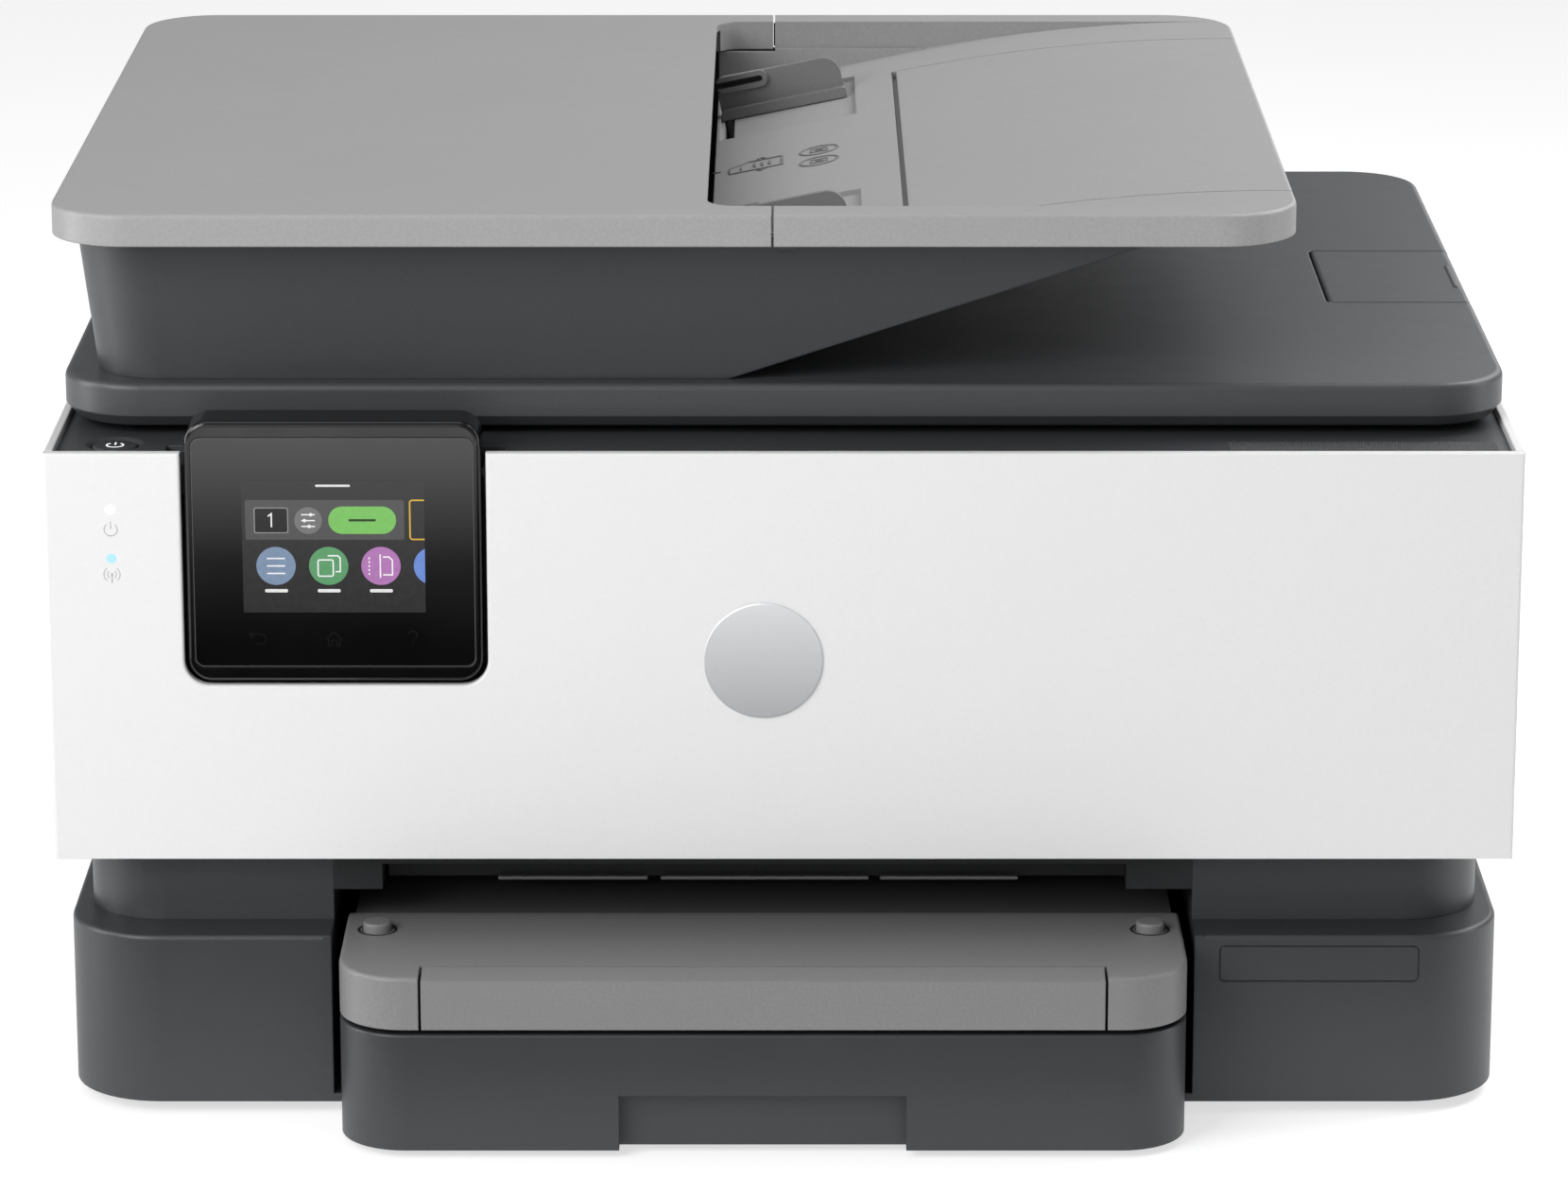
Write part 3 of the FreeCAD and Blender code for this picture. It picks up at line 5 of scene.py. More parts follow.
import bmesh
import bpy
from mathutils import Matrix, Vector


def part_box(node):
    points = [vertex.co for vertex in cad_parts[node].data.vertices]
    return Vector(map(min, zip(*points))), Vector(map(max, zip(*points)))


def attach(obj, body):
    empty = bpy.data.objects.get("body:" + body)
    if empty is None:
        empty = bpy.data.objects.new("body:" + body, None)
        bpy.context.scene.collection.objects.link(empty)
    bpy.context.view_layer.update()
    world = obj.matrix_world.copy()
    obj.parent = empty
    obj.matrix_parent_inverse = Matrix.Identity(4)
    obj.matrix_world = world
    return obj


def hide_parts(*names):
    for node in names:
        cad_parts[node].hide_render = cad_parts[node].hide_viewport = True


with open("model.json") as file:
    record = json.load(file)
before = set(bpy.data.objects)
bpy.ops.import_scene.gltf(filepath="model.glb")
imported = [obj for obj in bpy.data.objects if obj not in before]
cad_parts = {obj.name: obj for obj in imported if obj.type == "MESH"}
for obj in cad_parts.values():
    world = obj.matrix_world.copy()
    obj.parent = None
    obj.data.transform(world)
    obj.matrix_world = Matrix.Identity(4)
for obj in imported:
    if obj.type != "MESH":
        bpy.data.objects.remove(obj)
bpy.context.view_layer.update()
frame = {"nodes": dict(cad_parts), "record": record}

MM = 0.001
NODES = frame["nodes"]


# ---- node helpers ----
def linear(red, green, blue):
    """A colour given as 0-255 display values, as the shader wants it."""
    def channel(value):
        value /= 255
        return value / 12.92 if value <= 0.04045 else ((value + 0.055) / 1.055) ** 2.4
    return channel(red), channel(green), channel(blue), 1.0


def scaled(colour, factor):
    return colour[0] * factor, colour[1] * factor, colour[2] * factor, 1.0


def new_material(name):
    material = bpy.data.materials.new(name)
    material.use_nodes = True
    tree = material.node_tree
    shader = tree.nodes["Principled BSDF"]
    place = tree.nodes.new("ShaderNodeTexCoord").outputs["Object"]
    return material, tree, shader, place


def stretched(tree, place, scale):
    mapping = tree.nodes.new("ShaderNodeMapping")
    mapping.inputs["Scale"].default_value = scale
    tree.links.new(place, mapping.inputs["Vector"])
    return mapping.outputs["Vector"]


def noise(tree, place, size, detail=2.0):
    """Noise whose lumps are about size metres."""
    texture = tree.nodes.new("ShaderNodeTexNoise")
    texture.inputs["Scale"].default_value = 1 / size
    texture.inputs["Detail"].default_value = detail
    tree.links.new(place, texture.inputs["Vector"])
    return texture.outputs["Fac"]


def ranged(tree, value, low, high, start=0.3, end=0.7):
    node = tree.nodes.new("ShaderNodeMapRange")
    node.inputs["From Min"].default_value = start
    node.inputs["From Max"].default_value = end
    node.inputs["To Min"].default_value = low
    node.inputs["To Max"].default_value = high
    tree.links.new(value, node.inputs["Value"])
    return node.outputs["Result"]


def between(tree, factor, first, second):
    """A colour from first to second as factor goes from 0 to 1."""
    node = tree.nodes.new("ShaderNodeMix")
    node.data_type = "RGBA"
    tree.links.new(factor, node.inputs["Factor"])
    for socket, colour in ((node.inputs[6], first), (node.inputs[7], second)):
        if isinstance(colour, bpy.types.NodeSocket):
            tree.links.new(colour, socket)
        else:
            socket.default_value = colour
    return node.outputs[2]


def bumped(tree, shader, height, depth, edge=0.0):
    """Bump of depth metres over edges that catch the light as if rounded by edge metres."""
    bump = tree.nodes.new("ShaderNodeBump")
    bump.inputs["Strength"].default_value = 1.0
    bump.inputs["Distance"].default_value = depth
    tree.links.new(height, bump.inputs["Height"])
    if edge:
        bevel = tree.nodes.new("ShaderNodeBevel")
        bevel.samples = 4
        bevel.inputs["Radius"].default_value = edge
        tree.links.new(bevel.outputs["Normal"], bump.inputs["Normal"])
    tree.links.new(bump.outputs["Normal"], shader.inputs["Normal"])


def moulded(name, colour, rough, grain, depth, mottle=0.05, edge=0.0004, specular=0.5):
    """Moulded plastic: spark-eroded grain, a faint drift in colour and an uneven sheen."""
    material, tree, shader, place = new_material(name)
    drift = noise(tree, place, 0.06, 3.0)
    speck = noise(tree, place, 0.001, 1.0)
    tone = between(tree, ranged(tree, drift, 0, 1), scaled(colour, 1 - mottle), scaled(colour, 1 + mottle))
    fleck = between(tree, ranged(tree, speck, 0, 1), scaled(colour, 1 - 4 * mottle), tone)
    tree.links.new(fleck, shader.inputs["Base Color"])
    sheen = noise(tree, place, 0.012, 3.0)
    tree.links.new(ranged(tree, sheen, rough - 0.02, rough + 0.02), shader.inputs["Roughness"])
    shader.inputs["Specular IOR Level"].default_value = specular
    bumped(tree, shader, noise(tree, place, grain, 2.0), depth, edge)
    return material


def metal(name, colour, rough, stretch, depth=0.000004, edge=0.0003):
    """Metal with its brushing or rolling marks along the short axis of stretch."""
    material, tree, shader, place = new_material(name)
    marks = noise(tree, stretched(tree, place, stretch), 0.0006, 3.0)
    cloud = noise(tree, place, 0.02, 2.0)
    tint = between(tree, ranged(tree, cloud, 0, 1), scaled(colour, 0.9), colour)
    tree.links.new(tint, shader.inputs["Base Color"])
    tree.links.new(ranged(tree, marks, rough - 0.07, rough + 0.09), shader.inputs["Roughness"])
    shader.inputs["Metallic"].default_value = 1.0
    bumped(tree, shader, marks, depth, edge)
    return material


def glowing(name, colour, strength, rough=0.12):
    """A glowing mark seen through a clear gloss layer, a little uneven like a diffuser: lit for the screen
    and lamps, a faint painted glow on the unlit touch marks.
    """
    material, tree, shader, place = new_material(name)
    uneven = noise(tree, place, 0.0015, 2.0)
    tint = between(tree, ranged(tree, uneven, 0, 1), scaled(colour, 0.93), colour)
    tree.links.new(between(tree, ranged(tree, uneven, 0, 1), scaled(colour, 0.10), scaled(colour, 0.12)),
                   shader.inputs["Base Color"])
    tree.links.new(tint, shader.inputs["Emission Color"])
    shader.inputs["Emission Strength"].default_value = strength
    tree.links.new(ranged(tree, uneven, rough, rough + 0.05), shader.inputs["Roughness"])
    return material


# ---- finishes ----
CHARCOAL = linear(60, 62, 65)
WHITE = linear(215, 215, 215)
GREY = linear(148, 148, 148)
# A darker copy of the grey plastic for the output tray, its extender and release buttons: painted shade
# under the door.
PAINTED_SHADE_GREY = linear(124, 124, 124)
# A darker copy of the casing charcoal for the base and drawer: painted shade on the low front.
PAINTED_SHADE_CHARCOAL = linear(51, 53, 56)
# A lighter copy of the casing charcoal for the scanner lid and document stop: painted light.
LID_PAINTED_LIGHT_CHARCOAL = linear(66, 68, 71)
GUIDE_GREY = linear(118, 118, 118)
# A lighter copy of the charcoal for the output ramp: painted light in the shaded output mouth.
RAMP_PAINTED_LIGHT_CHARCOAL = linear(88, 88, 90)


def casing(name, colour, rough=0.42):
    """The textured plastic of the outer parts, with softly rounded edges."""
    return moulded(name, colour, rough, 0.0007, 0.00003, mottle=0.02, edge=0.0007)


charcoal = casing("charcoal_grain", CHARCOAL)
painted_shade_charcoal = casing("painted_shade_charcoal_grain", PAINTED_SHADE_CHARCOAL)
lid_painted_light_charcoal = casing("lid_painted_light_charcoal_grain", LID_PAINTED_LIGHT_CHARCOAL)
grey = casing("grey_grain", GREY, 0.46)
painted_shade_grey = casing("painted_shade_grey_grain", PAINTED_SHADE_GREY, 0.46)
guide_grey = moulded("guide_grey_grain", GUIDE_GREY, 0.4, 0.0009, 0.00002, mottle=0.02)
ramp_painted_light_charcoal = moulded("ramp_painted_light_charcoal_grain", RAMP_PAINTED_LIGHT_CHARCOAL, 0.42, 0.0007, 0.00003, mottle=0.02)
white = moulded("white_grain", WHITE, 0.45, 0.0012, 0.000018, mottle=0.005)
gloss_black = moulded("gloss_black", linear(10, 10, 11), 0.10, 0.004, 0.000001, edge=0.0005)
inner_black = moulded("inner_black", linear(34, 36, 38), 0.5, 0.0008, 0.00002)
rubber = moulded("rubber", linear(30, 30, 31), 0.75, 0.0005, 0.00004, specular=0.3)
nylon = moulded("nylon", linear(222, 219, 208), 0.42, 0.002, 0.00001)
foam = moulded("pad_foam", linear(236, 236, 231), 0.85, 0.0006, 0.00006, specular=0.2)
board = moulded("solder_mask", linear(26, 104, 62), 0.35, 0.003, 0.00003)
steel = metal("turned_steel", linear(198, 199, 202), 0.30, (1.0, 14.0, 14.0))
zinc = metal("zinc_plate", linear(182, 185, 189), 0.42, (3.0, 1.0, 3.0))
INK_TONES = {"black": (38, 38, 40), "cyan": (0, 146, 196),
             "magenta": (196, 34, 116), "yellow": (236, 200, 30)}
inks = {colour: moulded("ink_" + colour, linear(*tone), 0.38, 0.0009, 0.00002)
        for colour, tone in INK_TONES.items()}


def emblem_painted_highlight():
    """Satin silver, with a painted highlight: the colour lightens towards its upper edge."""
    material, tree, shader, place = new_material("painted_highlight_emblem_satin")
    parts = tree.nodes.new("ShaderNodeSeparateXYZ")
    tree.links.new(place, parts.inputs["Vector"])
    low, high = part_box("door_emblem")
    # painted highlight: the base colour runs from darker at the bottom to lighter at the top
    rise = ranged(tree, parts.outputs["Z"], 0, 1, low.z, high.z)
    silver = between(tree, rise, linear(190, 192, 195), linear(232, 233, 235))
    tree.links.new(silver, shader.inputs["Base Color"])
    marks = noise(tree, stretched(tree, place, (16.0, 16.0, 1.0)), 0.0006, 3.0)
    tree.links.new(ranged(tree, marks, 0.27, 0.4), shader.inputs["Roughness"])
    shader.inputs["Metallic"].default_value = 0.45
    bumped(tree, shader, marks, 0.000003, 0.0004)
    return material


def display_glass():
    material, tree, shader, place = new_material("display_glass")
    smear = noise(tree, place, 0.03, 3.0)
    tree.links.new(between(tree, ranged(tree, smear, 0, 1), linear(7, 7, 8), linear(11, 11, 12)),
                   shader.inputs["Base Color"])
    tree.links.new(ranged(tree, smear, 0.05, 0.09), shader.inputs["Roughness"])
    shader.inputs["Coat Weight"].default_value = 0.3
    shader.inputs["Coat Roughness"].default_value = 0.03
    return material


def platen_glass():
    material, tree, shader, place = new_material("platen_glass")
    smear = noise(tree, place, 0.04, 3.0)
    shader.inputs["Transmission Weight"].default_value = 0.92
    shader.inputs["IOR"].default_value = 1.5
    tree.links.new(between(tree, ranged(tree, smear, 0, 1), linear(214, 230, 224), linear(226, 236, 232)),
                   shader.inputs["Base Color"])
    tree.links.new(ranged(tree, smear, 0.0, 0.02), shader.inputs["Roughness"])
    return material


FINISHES = {
    "casing_dark": charcoal, "panel_white": white, "plastic_grey": grey, "plastic_black": gloss_black,
    "inner_black": inner_black, "rubber": rubber, "steel": steel, "frame_steel": zinc,
    "emblem_metal": emblem_painted_highlight(), "pad_foam": foam, "circuit_board": board, "gear_plastic": nylon,
    "display_glass": display_glass(), "clear_glass": platen_glass(),
    "ink_black": inks["black"], "ink_cyan": inks["cyan"], "ink_magenta": inks["magenta"],
    "ink_yellow": inks["yellow"],
}
OWN_FINISH = {
    "power_button": charcoal, "door_liner": charcoal,
    # base and drawer: the darker charcoal copy, painted shade
    "base_shell": painted_shade_charcoal, "input_drawer": painted_shade_charcoal,
    # output tray, extender and release buttons: the darker grey copy, painted shade
    "output_tray": painted_shade_grey, "output_extender": painted_shade_grey,
    "release_button_left": painted_shade_grey, "release_button_right": painted_shade_grey,
    # output ramp: the lighter charcoal copy, painted light
    "output_ramp": ramp_painted_light_charcoal,
    # scanner lid and document stop: the lighter charcoal copy, painted light
    "scanner_lid": lid_painted_light_charcoal, "document_stop": lid_painted_light_charcoal,
    "feeder_guide_rear": guide_grey, "feeder_guide_front": guide_grey,
}


def dress_nodes():
    for part in frame["record"]["subparts"]:
        node = NODES[part["node"]]
        finish = OWN_FINISH.get(part["node"], FINISHES[part["material_slot"]])
        node.data.materials.clear()
        node.data.materials.append(finish)


# ---- mesh helpers ----
def front(depth_y):
    """Places (x, z, outward) millimetres on an upright face that looks to -Y."""
    return lambda u, v, w: Vector((u, depth_y - w, v)) * MM


def level(height_z):
    """Places (x, y, up) millimetres on a level face."""
    return lambda u, v, w: Vector((u, v, height_z + w)) * MM


def mesh_from(name, bm):
    data = bpy.data.meshes.new(name)
    bm.to_mesh(data)
    bm.free()
    return data


def finished(name, mesh_data, finish, body):
    """A mesh as a piece with its finish, riding its body."""
    piece = bpy.data.objects.new(name, mesh_data)
    bpy.context.scene.collection.objects.link(piece)
    mesh_data.materials.append(finish)
    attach(piece, body)
    return piece


def plate(name, polygons, place, bottom, top, finish, body):
    """Flat polygons given a thickness from bottom to top above their face."""
    bm = bmesh.new()
    for polygon in polygons:
        bm.faces.new([bm.verts.new(place(u, v, bottom)) for u, v in polygon])
    bmesh.ops.remove_doubles(bm, verts=bm.verts[:], dist=1e-6)
    rise = place(0, 0, top) - place(0, 0, bottom)
    raised = bmesh.ops.extrude_face_region(bm, geom=bm.faces[:])
    for item in raised["geom"]:
        if isinstance(item, bmesh.types.BMVert):
            item.co += rise
    bmesh.ops.recalc_face_normals(bm, faces=bm.faces[:])
    return finished(name, mesh_from(name, bm), finish, body)


def arc(cx, cy, radius, start, end, steps=24):
    """Points along an arc between two angles in degrees."""
    angles = [math.radians(start + (end - start) * i / steps) for i in range(steps + 1)]
    return [(cx + radius * math.cos(angle), cy + radius * math.sin(angle)) for angle in angles]


def disc(cx, cy, radius, steps=48):
    return arc(cx, cy, radius, 0, 360, steps)[:-1]


def round_box(u0, u1, v0, v1, radius):
    """A rectangle with round corners."""
    left, right, low, high = u0 + radius, u1 - radius, v0 + radius, v1 - radius
    return (arc(right, high, radius, 0, 90, 6) + arc(left, high, radius, 90, 180, 6)
            + arc(left, low, radius, 180, 270, 6) + arc(right, low, radius, 270, 360, 6))


def clipped(polygon, limit):
    """The part of a polygon left of u = limit."""
    kept = []
    for (u0, v0), (u1, v1) in zip(polygon, polygon[1:] + polygon[:1]):
        if u0 <= limit:
            kept.append((u0, v0))
        if (u0 <= limit) != (u1 <= limit):
            kept.append((limit, v0 + (v1 - v0) * (limit - u0) / (u1 - u0)))
    return kept


def ribbon(points, width, closed=False):
    """A line of points drawn with a width, as four-sided polygons that share their corners."""
    points = [p for i, p in enumerate(points) if i == 0 or math.dist(p, points[i - 1]) > 1e-6]
    count = len(points)
    sides = []
    for i, (u, v) in enumerate(points):
        before = points[i - 1] if i or closed else None
        after = points[(i + 1) % count] if i < count - 1 or closed else None
        ways = []
        for a, b in ((before, (u, v)), ((u, v), after)):
            if a and b:
                length = math.hypot(b[0] - a[0], b[1] - a[1])
                ways.append(((b[0] - a[0]) / length, (b[1] - a[1]) / length))
        across = [sum(-w[1] for w in ways), sum(w[0] for w in ways)]
        size = math.hypot(*across)
        across = [a / size for a in across]
        lean = across[0] * -ways[0][1] + across[1] * ways[0][0]
        half = width / 2 / max(lean, 0.35)
        du, dv = across[0] * half, across[1] * half
        sides.append(((u + du, v + dv), (u - du, v - dv)))
    pairs = list(zip(sides, sides[1:] + sides[:1])) if closed else list(zip(sides, sides[1:]))
    return [[a[0], b[0], b[1], a[1]] for a, b in pairs]


# ---- display ----
GLASS_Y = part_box("panel_glass")[0].y / MM
PANEL = front(GLASS_Y)
SCREEN_U = (-160.9, -106.7)
SCREEN_V = (158.7, 199.2)
ICON_V = 173.05
SIGN_WHITE = (250, 250, 250)


def on_screen(name, polygons, layer, colour, strength=0.85):
    """Lit polygons on the touch glass, each layer a little above the one before."""
    finish = glowing("screen_" + name, linear(*colour), strength)
    base = 0.02 + layer * 0.03
    plate("screen_" + name, polygons, PANEL, base - 0.02, base + 0.03, finish,
          "control_panel")


def display():
    """The part of the screen that shows: a card with a count, a start bar, and a row of round icons."""
    edge = SCREEN_U[1]
    on_screen("ground", [round_box(*SCREEN_U, *SCREEN_V, 0.2)], 1, (46, 46, 46), 0.9)
    on_screen("handle", [round_box(-138.9, -128.6, 197.3, 198.0, 0.3)], 2, (225, 225, 225))
    on_screen("card", [round_box(-159.9, -112.7, 181.1, 193.3, 0.8)], 2, (84, 84, 84), 0.8)
    on_screen("count_rim", [round_box(-157.3, -147.1, 183.1, 191.0, 0.7)], 3, (150, 150, 150), 0.8)
    on_screen("count_box", [round_box(-157.0, -147.4, 183.4, 190.7, 0.5)], 4, (38, 38, 38), 0.6)
    digit = ribbon([(-153.1, 188.3), (-152.1, 189.1), (-152.1, 185.0)], 0.42)
    on_screen("count_digit", digit, 5, SIGN_WHITE)
    on_screen("options_disc", [disc(-141.2, 187.0, 4.1)], 3, (118, 118, 118), 0.85)
    sliders = []
    for v, knob in ((188.8, -140.4), (187.0, -142.3), (185.2, -140.9)):
        sliders += ribbon([(-143.2, v), (-139.2, v)], 0.36)
        sliders.append(disc(knob, v, 0.52, 16))
    on_screen("options_sliders", sliders, 4, (248, 248, 248))
    on_screen("start_pill", [round_box(-135.2, -115.1, 182.9, 191.3, 4.1)], 3, (124, 196, 98))
    on_screen("start_mark", [round_box(-129.2, -121.1, 186.75, 187.45, 0.3)], 4, (44, 74, 34), 0.4)
    rim = [clipped(p, edge) for p in ribbon(round_box(-111.0, -100.0, 181.2, 193.2, 0.8), 0.42, True)]
    on_screen("next_card", [p for p in rim if len(p) > 2], 2, (226, 184, 60))
    for name, u, colour in (("menu", -151.0, (128, 148, 175)), ("copy", -135.35, (95, 159, 109)),
                            ("scan", -119.8, (181, 122, 184))):
        on_screen(name + "_disc", [disc(u, ICON_V, 5.85)], 2, colour)
        on_screen(name + "_bar", [round_box(u - 3.4, u + 3.4, 164.9, 165.9, 0.4)], 2, (235, 235, 235))
    on_screen("fourth_disc", [clipped(disc(-104.2, ICON_V, 5.85), edge)], 2, (110, 143, 216))
    lines = []
    for v in (ICON_V - 2.3, ICON_V, ICON_V + 2.3):
        lines += ribbon([(-153.7, v), (-148.3, v)], 0.4)
    on_screen("menu_lines", lines, 3, SIGN_WHITE)
    sheets = ribbon(round_box(-138.5, -134.0, 169.9, 174.9, 0.5), 0.4, True)
    sheets += ribbon([(-135.6, 176.2), (-132.6, 176.2), (-131.9, 175.5), (-131.9, 171.3),
                      (-133.3, 171.3)], 0.4)
    on_screen("copy_sheets", sheets, 3, SIGN_WHITE)
    scan = []
    for i in range(5):
        scan += ribbon([(-123.3, 170.3 + 1.2 * i), (-123.3, 170.9 + 1.2 * i)], 0.4)
    scan += ribbon([(-120.0, 169.4), (-120.0, 176.6)], 0.4)
    scan += ribbon([(-119.2, 175.8), (-117.4, 175.8), (-116.4, 174.8), (-116.4, 170.3),
                    (-119.2, 170.3)], 0.4)
    on_screen("scan_page", scan, 3, SIGN_WHITE)


def touch_marks():
    """Unlit touch marks below the screen: back, home and help, drawn with a faint painted glow."""
    # painted glow: the unlit marks emit a faint dark grey
    finish = glowing("painted_glow_touch_mark", linear(34, 34, 35), 0.25)
    hook = arc(-155.9, 150.4, 1.5, 90, -90, 10)
    back = ribbon([(-159.3, 151.9), (-155.9, 151.9)] + hook + [(-157.6, 148.9)], 0.3)
    back += ribbon([(-158.3, 152.9), (-159.4, 151.9), (-158.3, 150.9)], 0.3)
    home = ribbon([(-136.5, 150.4), (-134.1, 152.7), (-131.7, 150.4)], 0.3)
    home += ribbon([(-135.9, 150.6), (-135.9, 148.4), (-134.9, 148.4), (-134.9, 150.0), (-133.3, 150.0),
                    (-133.3, 148.4), (-132.3, 148.4), (-132.3, 150.6)], 0.3)
    help_mark = ribbon(arc(-110.7, 151.6, 1.3, 170, -60, 12) + [(-110.7, 149.9), (-110.7, 149.3)], 0.3)
    help_mark.append(disc(-110.7, 148.4, 0.22, 12))
    for name, shape in (("back", back), ("home", home), ("help", help_mark)):
        plate("touch_" + name, shape, PANEL, 0.0, 0.03, finish, "control_panel")


def painted_highlight_glass_rim():
    """A thin pale grey ring just inside the edge of the touch glass: a painted highlight along its
    polished edge.
    """
    low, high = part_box("panel_glass")
    inset = 0.15
    u0, u1 = low.x / MM + inset, high.x / MM - inset
    v0, v1 = low.z / MM + inset, high.z / MM - inset
    outline = round_box(u0, u1, v0, v1, 2.7)
    finish = moulded("painted_highlight_rim_grey", linear(88, 89, 91), 0.3, 0.002, 0.000002)
    plate("painted_highlight_glass_rim", ribbon(outline, 0.2, True), PANEL, -0.02, 0.03, finish,
          "control_panel")


# ---- lamps and marks on the door and button ----
LAMP_X = -199.9


def power_sign(u, v, radius, width):
    """A ring open at the top, with a short line in the opening."""
    ring = ribbon(arc(u, v, radius, 90 + 38, 450 - 38, 30), width)
    return ring + ribbon([(u, v + radius * 0.15), (u, v + radius * 1.25)], width)


def door_lamps():
    door = front(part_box("front_door")[0].y / MM)
    lit_white = glowing("lamp_white", linear(255, 255, 255), 2.2)
    lit_blue = glowing("lamp_blue", linear(168, 217, 255), 1.15)
    marks = moulded("door_mark", linear(190, 191, 192), 0.5, 0.0012, 0.00001)
    for name, v, finish in (("power", 190.2, lit_white), ("network", 175.2, lit_blue)):
        plate("lamp_" + name, [disc(LAMP_X, v, 1.5)], door, -0.05, 0.02, finish,
              "front_door")
    plate("mark_power", power_sign(LAMP_X, 184.1, 1.95, 0.32), door, 0.0, 0.04, marks,
          "front_door")
    aerial = ribbon([(LAMP_X, 167.6), (LAMP_X, 170.0)], 0.34)
    for radius in (1.3, 2.4):
        aerial += ribbon(arc(LAMP_X, 170.3, radius, -52, 52, 10), 0.3)
        aerial += ribbon(arc(LAMP_X, 170.3, radius, 128, 232, 10), 0.3)
    aerial.append(disc(LAMP_X, 170.3, 0.45, 14))
    plate("mark_network", aerial, door, 0.0, 0.04, marks, "front_door")


def button_sign():
    low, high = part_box("power_button")
    u, v = (low.x + high.x) / 2 / MM, (low.y + high.y) / 2 / MM
    lit = glowing("button_light", linear(255, 255, 255), 1.3)
    plate("button_sign", power_sign(u, v, 2.5, 0.45), level(high.z / MM), -0.05, 0.06, lit,
          "power_button")


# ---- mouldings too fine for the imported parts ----
def deck_grip():
    """Fine raised studs, in staggered rows, on the deck's front ledge."""
    left, right, near, far = 133.0, 213.6, -153.6, -134.0
    pitch, half, height = 1.25, 0.42, 0.28
    place = level(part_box("top_deck")[1].z / MM)
    bm = bmesh.new()
    rows = int((far - near) / (pitch * 0.5))
    for row in range(rows + 1):
        v = near + row * pitch * 0.5
        count = int((right - left - pitch * 0.5 * (row % 2)) / pitch)
        for column in range(count + 1):
            u = left + pitch * (column + 0.5 * (row % 2))
            foot = [bm.verts.new(place(u + du, v + dv, -0.02))
                    for du, dv in ((half, 0), (0, half), (-half, 0), (0, -half))]
            peak = bm.verts.new(place(u, v, height))
            for a, b in zip(foot, foot[1:] + foot[:1]):
                bm.faces.new((a, b, peak))
    finished("deck_grip", mesh_from("deck_grip", bm), charcoal, "chassis")


SLOPE = math.radians(11.54)
SLOPE_FOOT_X, SLOPE_FOOT_Z = 40.0, 265.09


def sloped(u, v, w):
    """Places (x, y, up) millimetres on the feeder tray's sloping floor."""
    return Vector((u, v, SLOPE_FOOT_Z + (u - SLOPE_FOOT_X) * math.tan(SLOPE) + w)) * MM


def tray_icons():
    """Loading marks moulded on the feeder tray: a sheet with lines between two arrows, and two rings."""
    sheet = ribbon([(-17.4, 26.0), (-0.6, 26.0), (-0.6, 39.6), (-11.6, 39.6), (-17.4, 34.2)], 0.7, True)
    for u in (-9.4, -7.0, -4.6):
        sheet += ribbon([(u, 30.0), (u, 35.4)], 0.8)
    sheet += ribbon([(-13.8, 29.6), (-13.8, 33.8)], 0.6)
    for v, way in ((42.6, 1), (23.0, -1)):
        sheet += ribbon([(-8.6, v - 1.3 * way), (-7.3, v), (-6.0, v - 1.3 * way)], 0.6)
    sheet += ribbon([(-23.0, 32.8), (-20.4, 32.8)], 0.6)
    plate("tray_icon_sheet", sheet, sloped, -0.05, 0.35, guide_grey, "feeder_tray")
    for name, u, v in (("rear", 11.3, 36.8), ("front", 11.2, 19.7)):
        ring = ribbon(disc(u, v, 6.1), 0.6, True)
        ring += ribbon([(u - 2.6, v - 2.2), (u + 2.6, v - 2.2), (u + 2.6, v + 2.4), (u - 2.6, v + 2.4)],
                       0.5, True)
        ring += ribbon([(u - 1.2, v), (u + 1.2, v)], 0.5)
        plate("tray_icon_" + name, ring, sloped, -0.05, 0.35, guide_grey, "feeder_tray")


def painted_shade_guide_slot():
    """A dark sheet on the floor of the finger slot in the rear feeder guide: painted shade."""
    cos, sin = math.cos(SLOPE), math.sin(SLOPE)

    def place(u, v, w):
        return Vector((SLOPE_FOOT_X + u * cos - v * sin, 129.1 - w, SLOPE_FOOT_Z + u * sin + v * cos)) * MM

    plate("painted_shade_guide_slot", [round_box(-61.8, -45.4, 8.7, 12.1, 1.2)], place, -0.3, 0.0, inner_black,
          "feeder_guide_rear")


def seam_tongue():
    """A dark tongue in the line between feeder cover and tray, so the line stays closed at the back."""
    outline = [(-3.55, 266.7), (-3.05, 266.7), (-3.05, 274.6), (-3.55, 274.6)]
    plate("seam_tongue", [outline], front(182.0), 0.0, 1.2, inner_black, "feeder_tray")


def rearward(face_y):
    """Places (x, z, outward) millimetres on an upright face that looks to +Y."""
    return lambda u, v, w: Vector((u, face_y + w, v)) * MM


def socket_lining(name, u0, u1, v0, v1, deep_y, face_y, finish):
    """The four walls and the end wall inside a socket's mouth."""
    corners = ((u0, v0), (u1, v0), (u1, v1), (u0, v1))
    bm = bmesh.new()
    near = [bm.verts.new(Vector((u, face_y, v)) * MM) for u, v in corners]
    deep = [bm.verts.new(Vector((u, deep_y, v)) * MM) for u, v in corners]
    for i in range(4):
        j = (i + 1) % 4
        bm.faces.new((near[i], near[j], deep[j], deep[i]))
    bm.faces.new(deep)
    finished(name, mesh_from(name, bm), finish, "chassis")


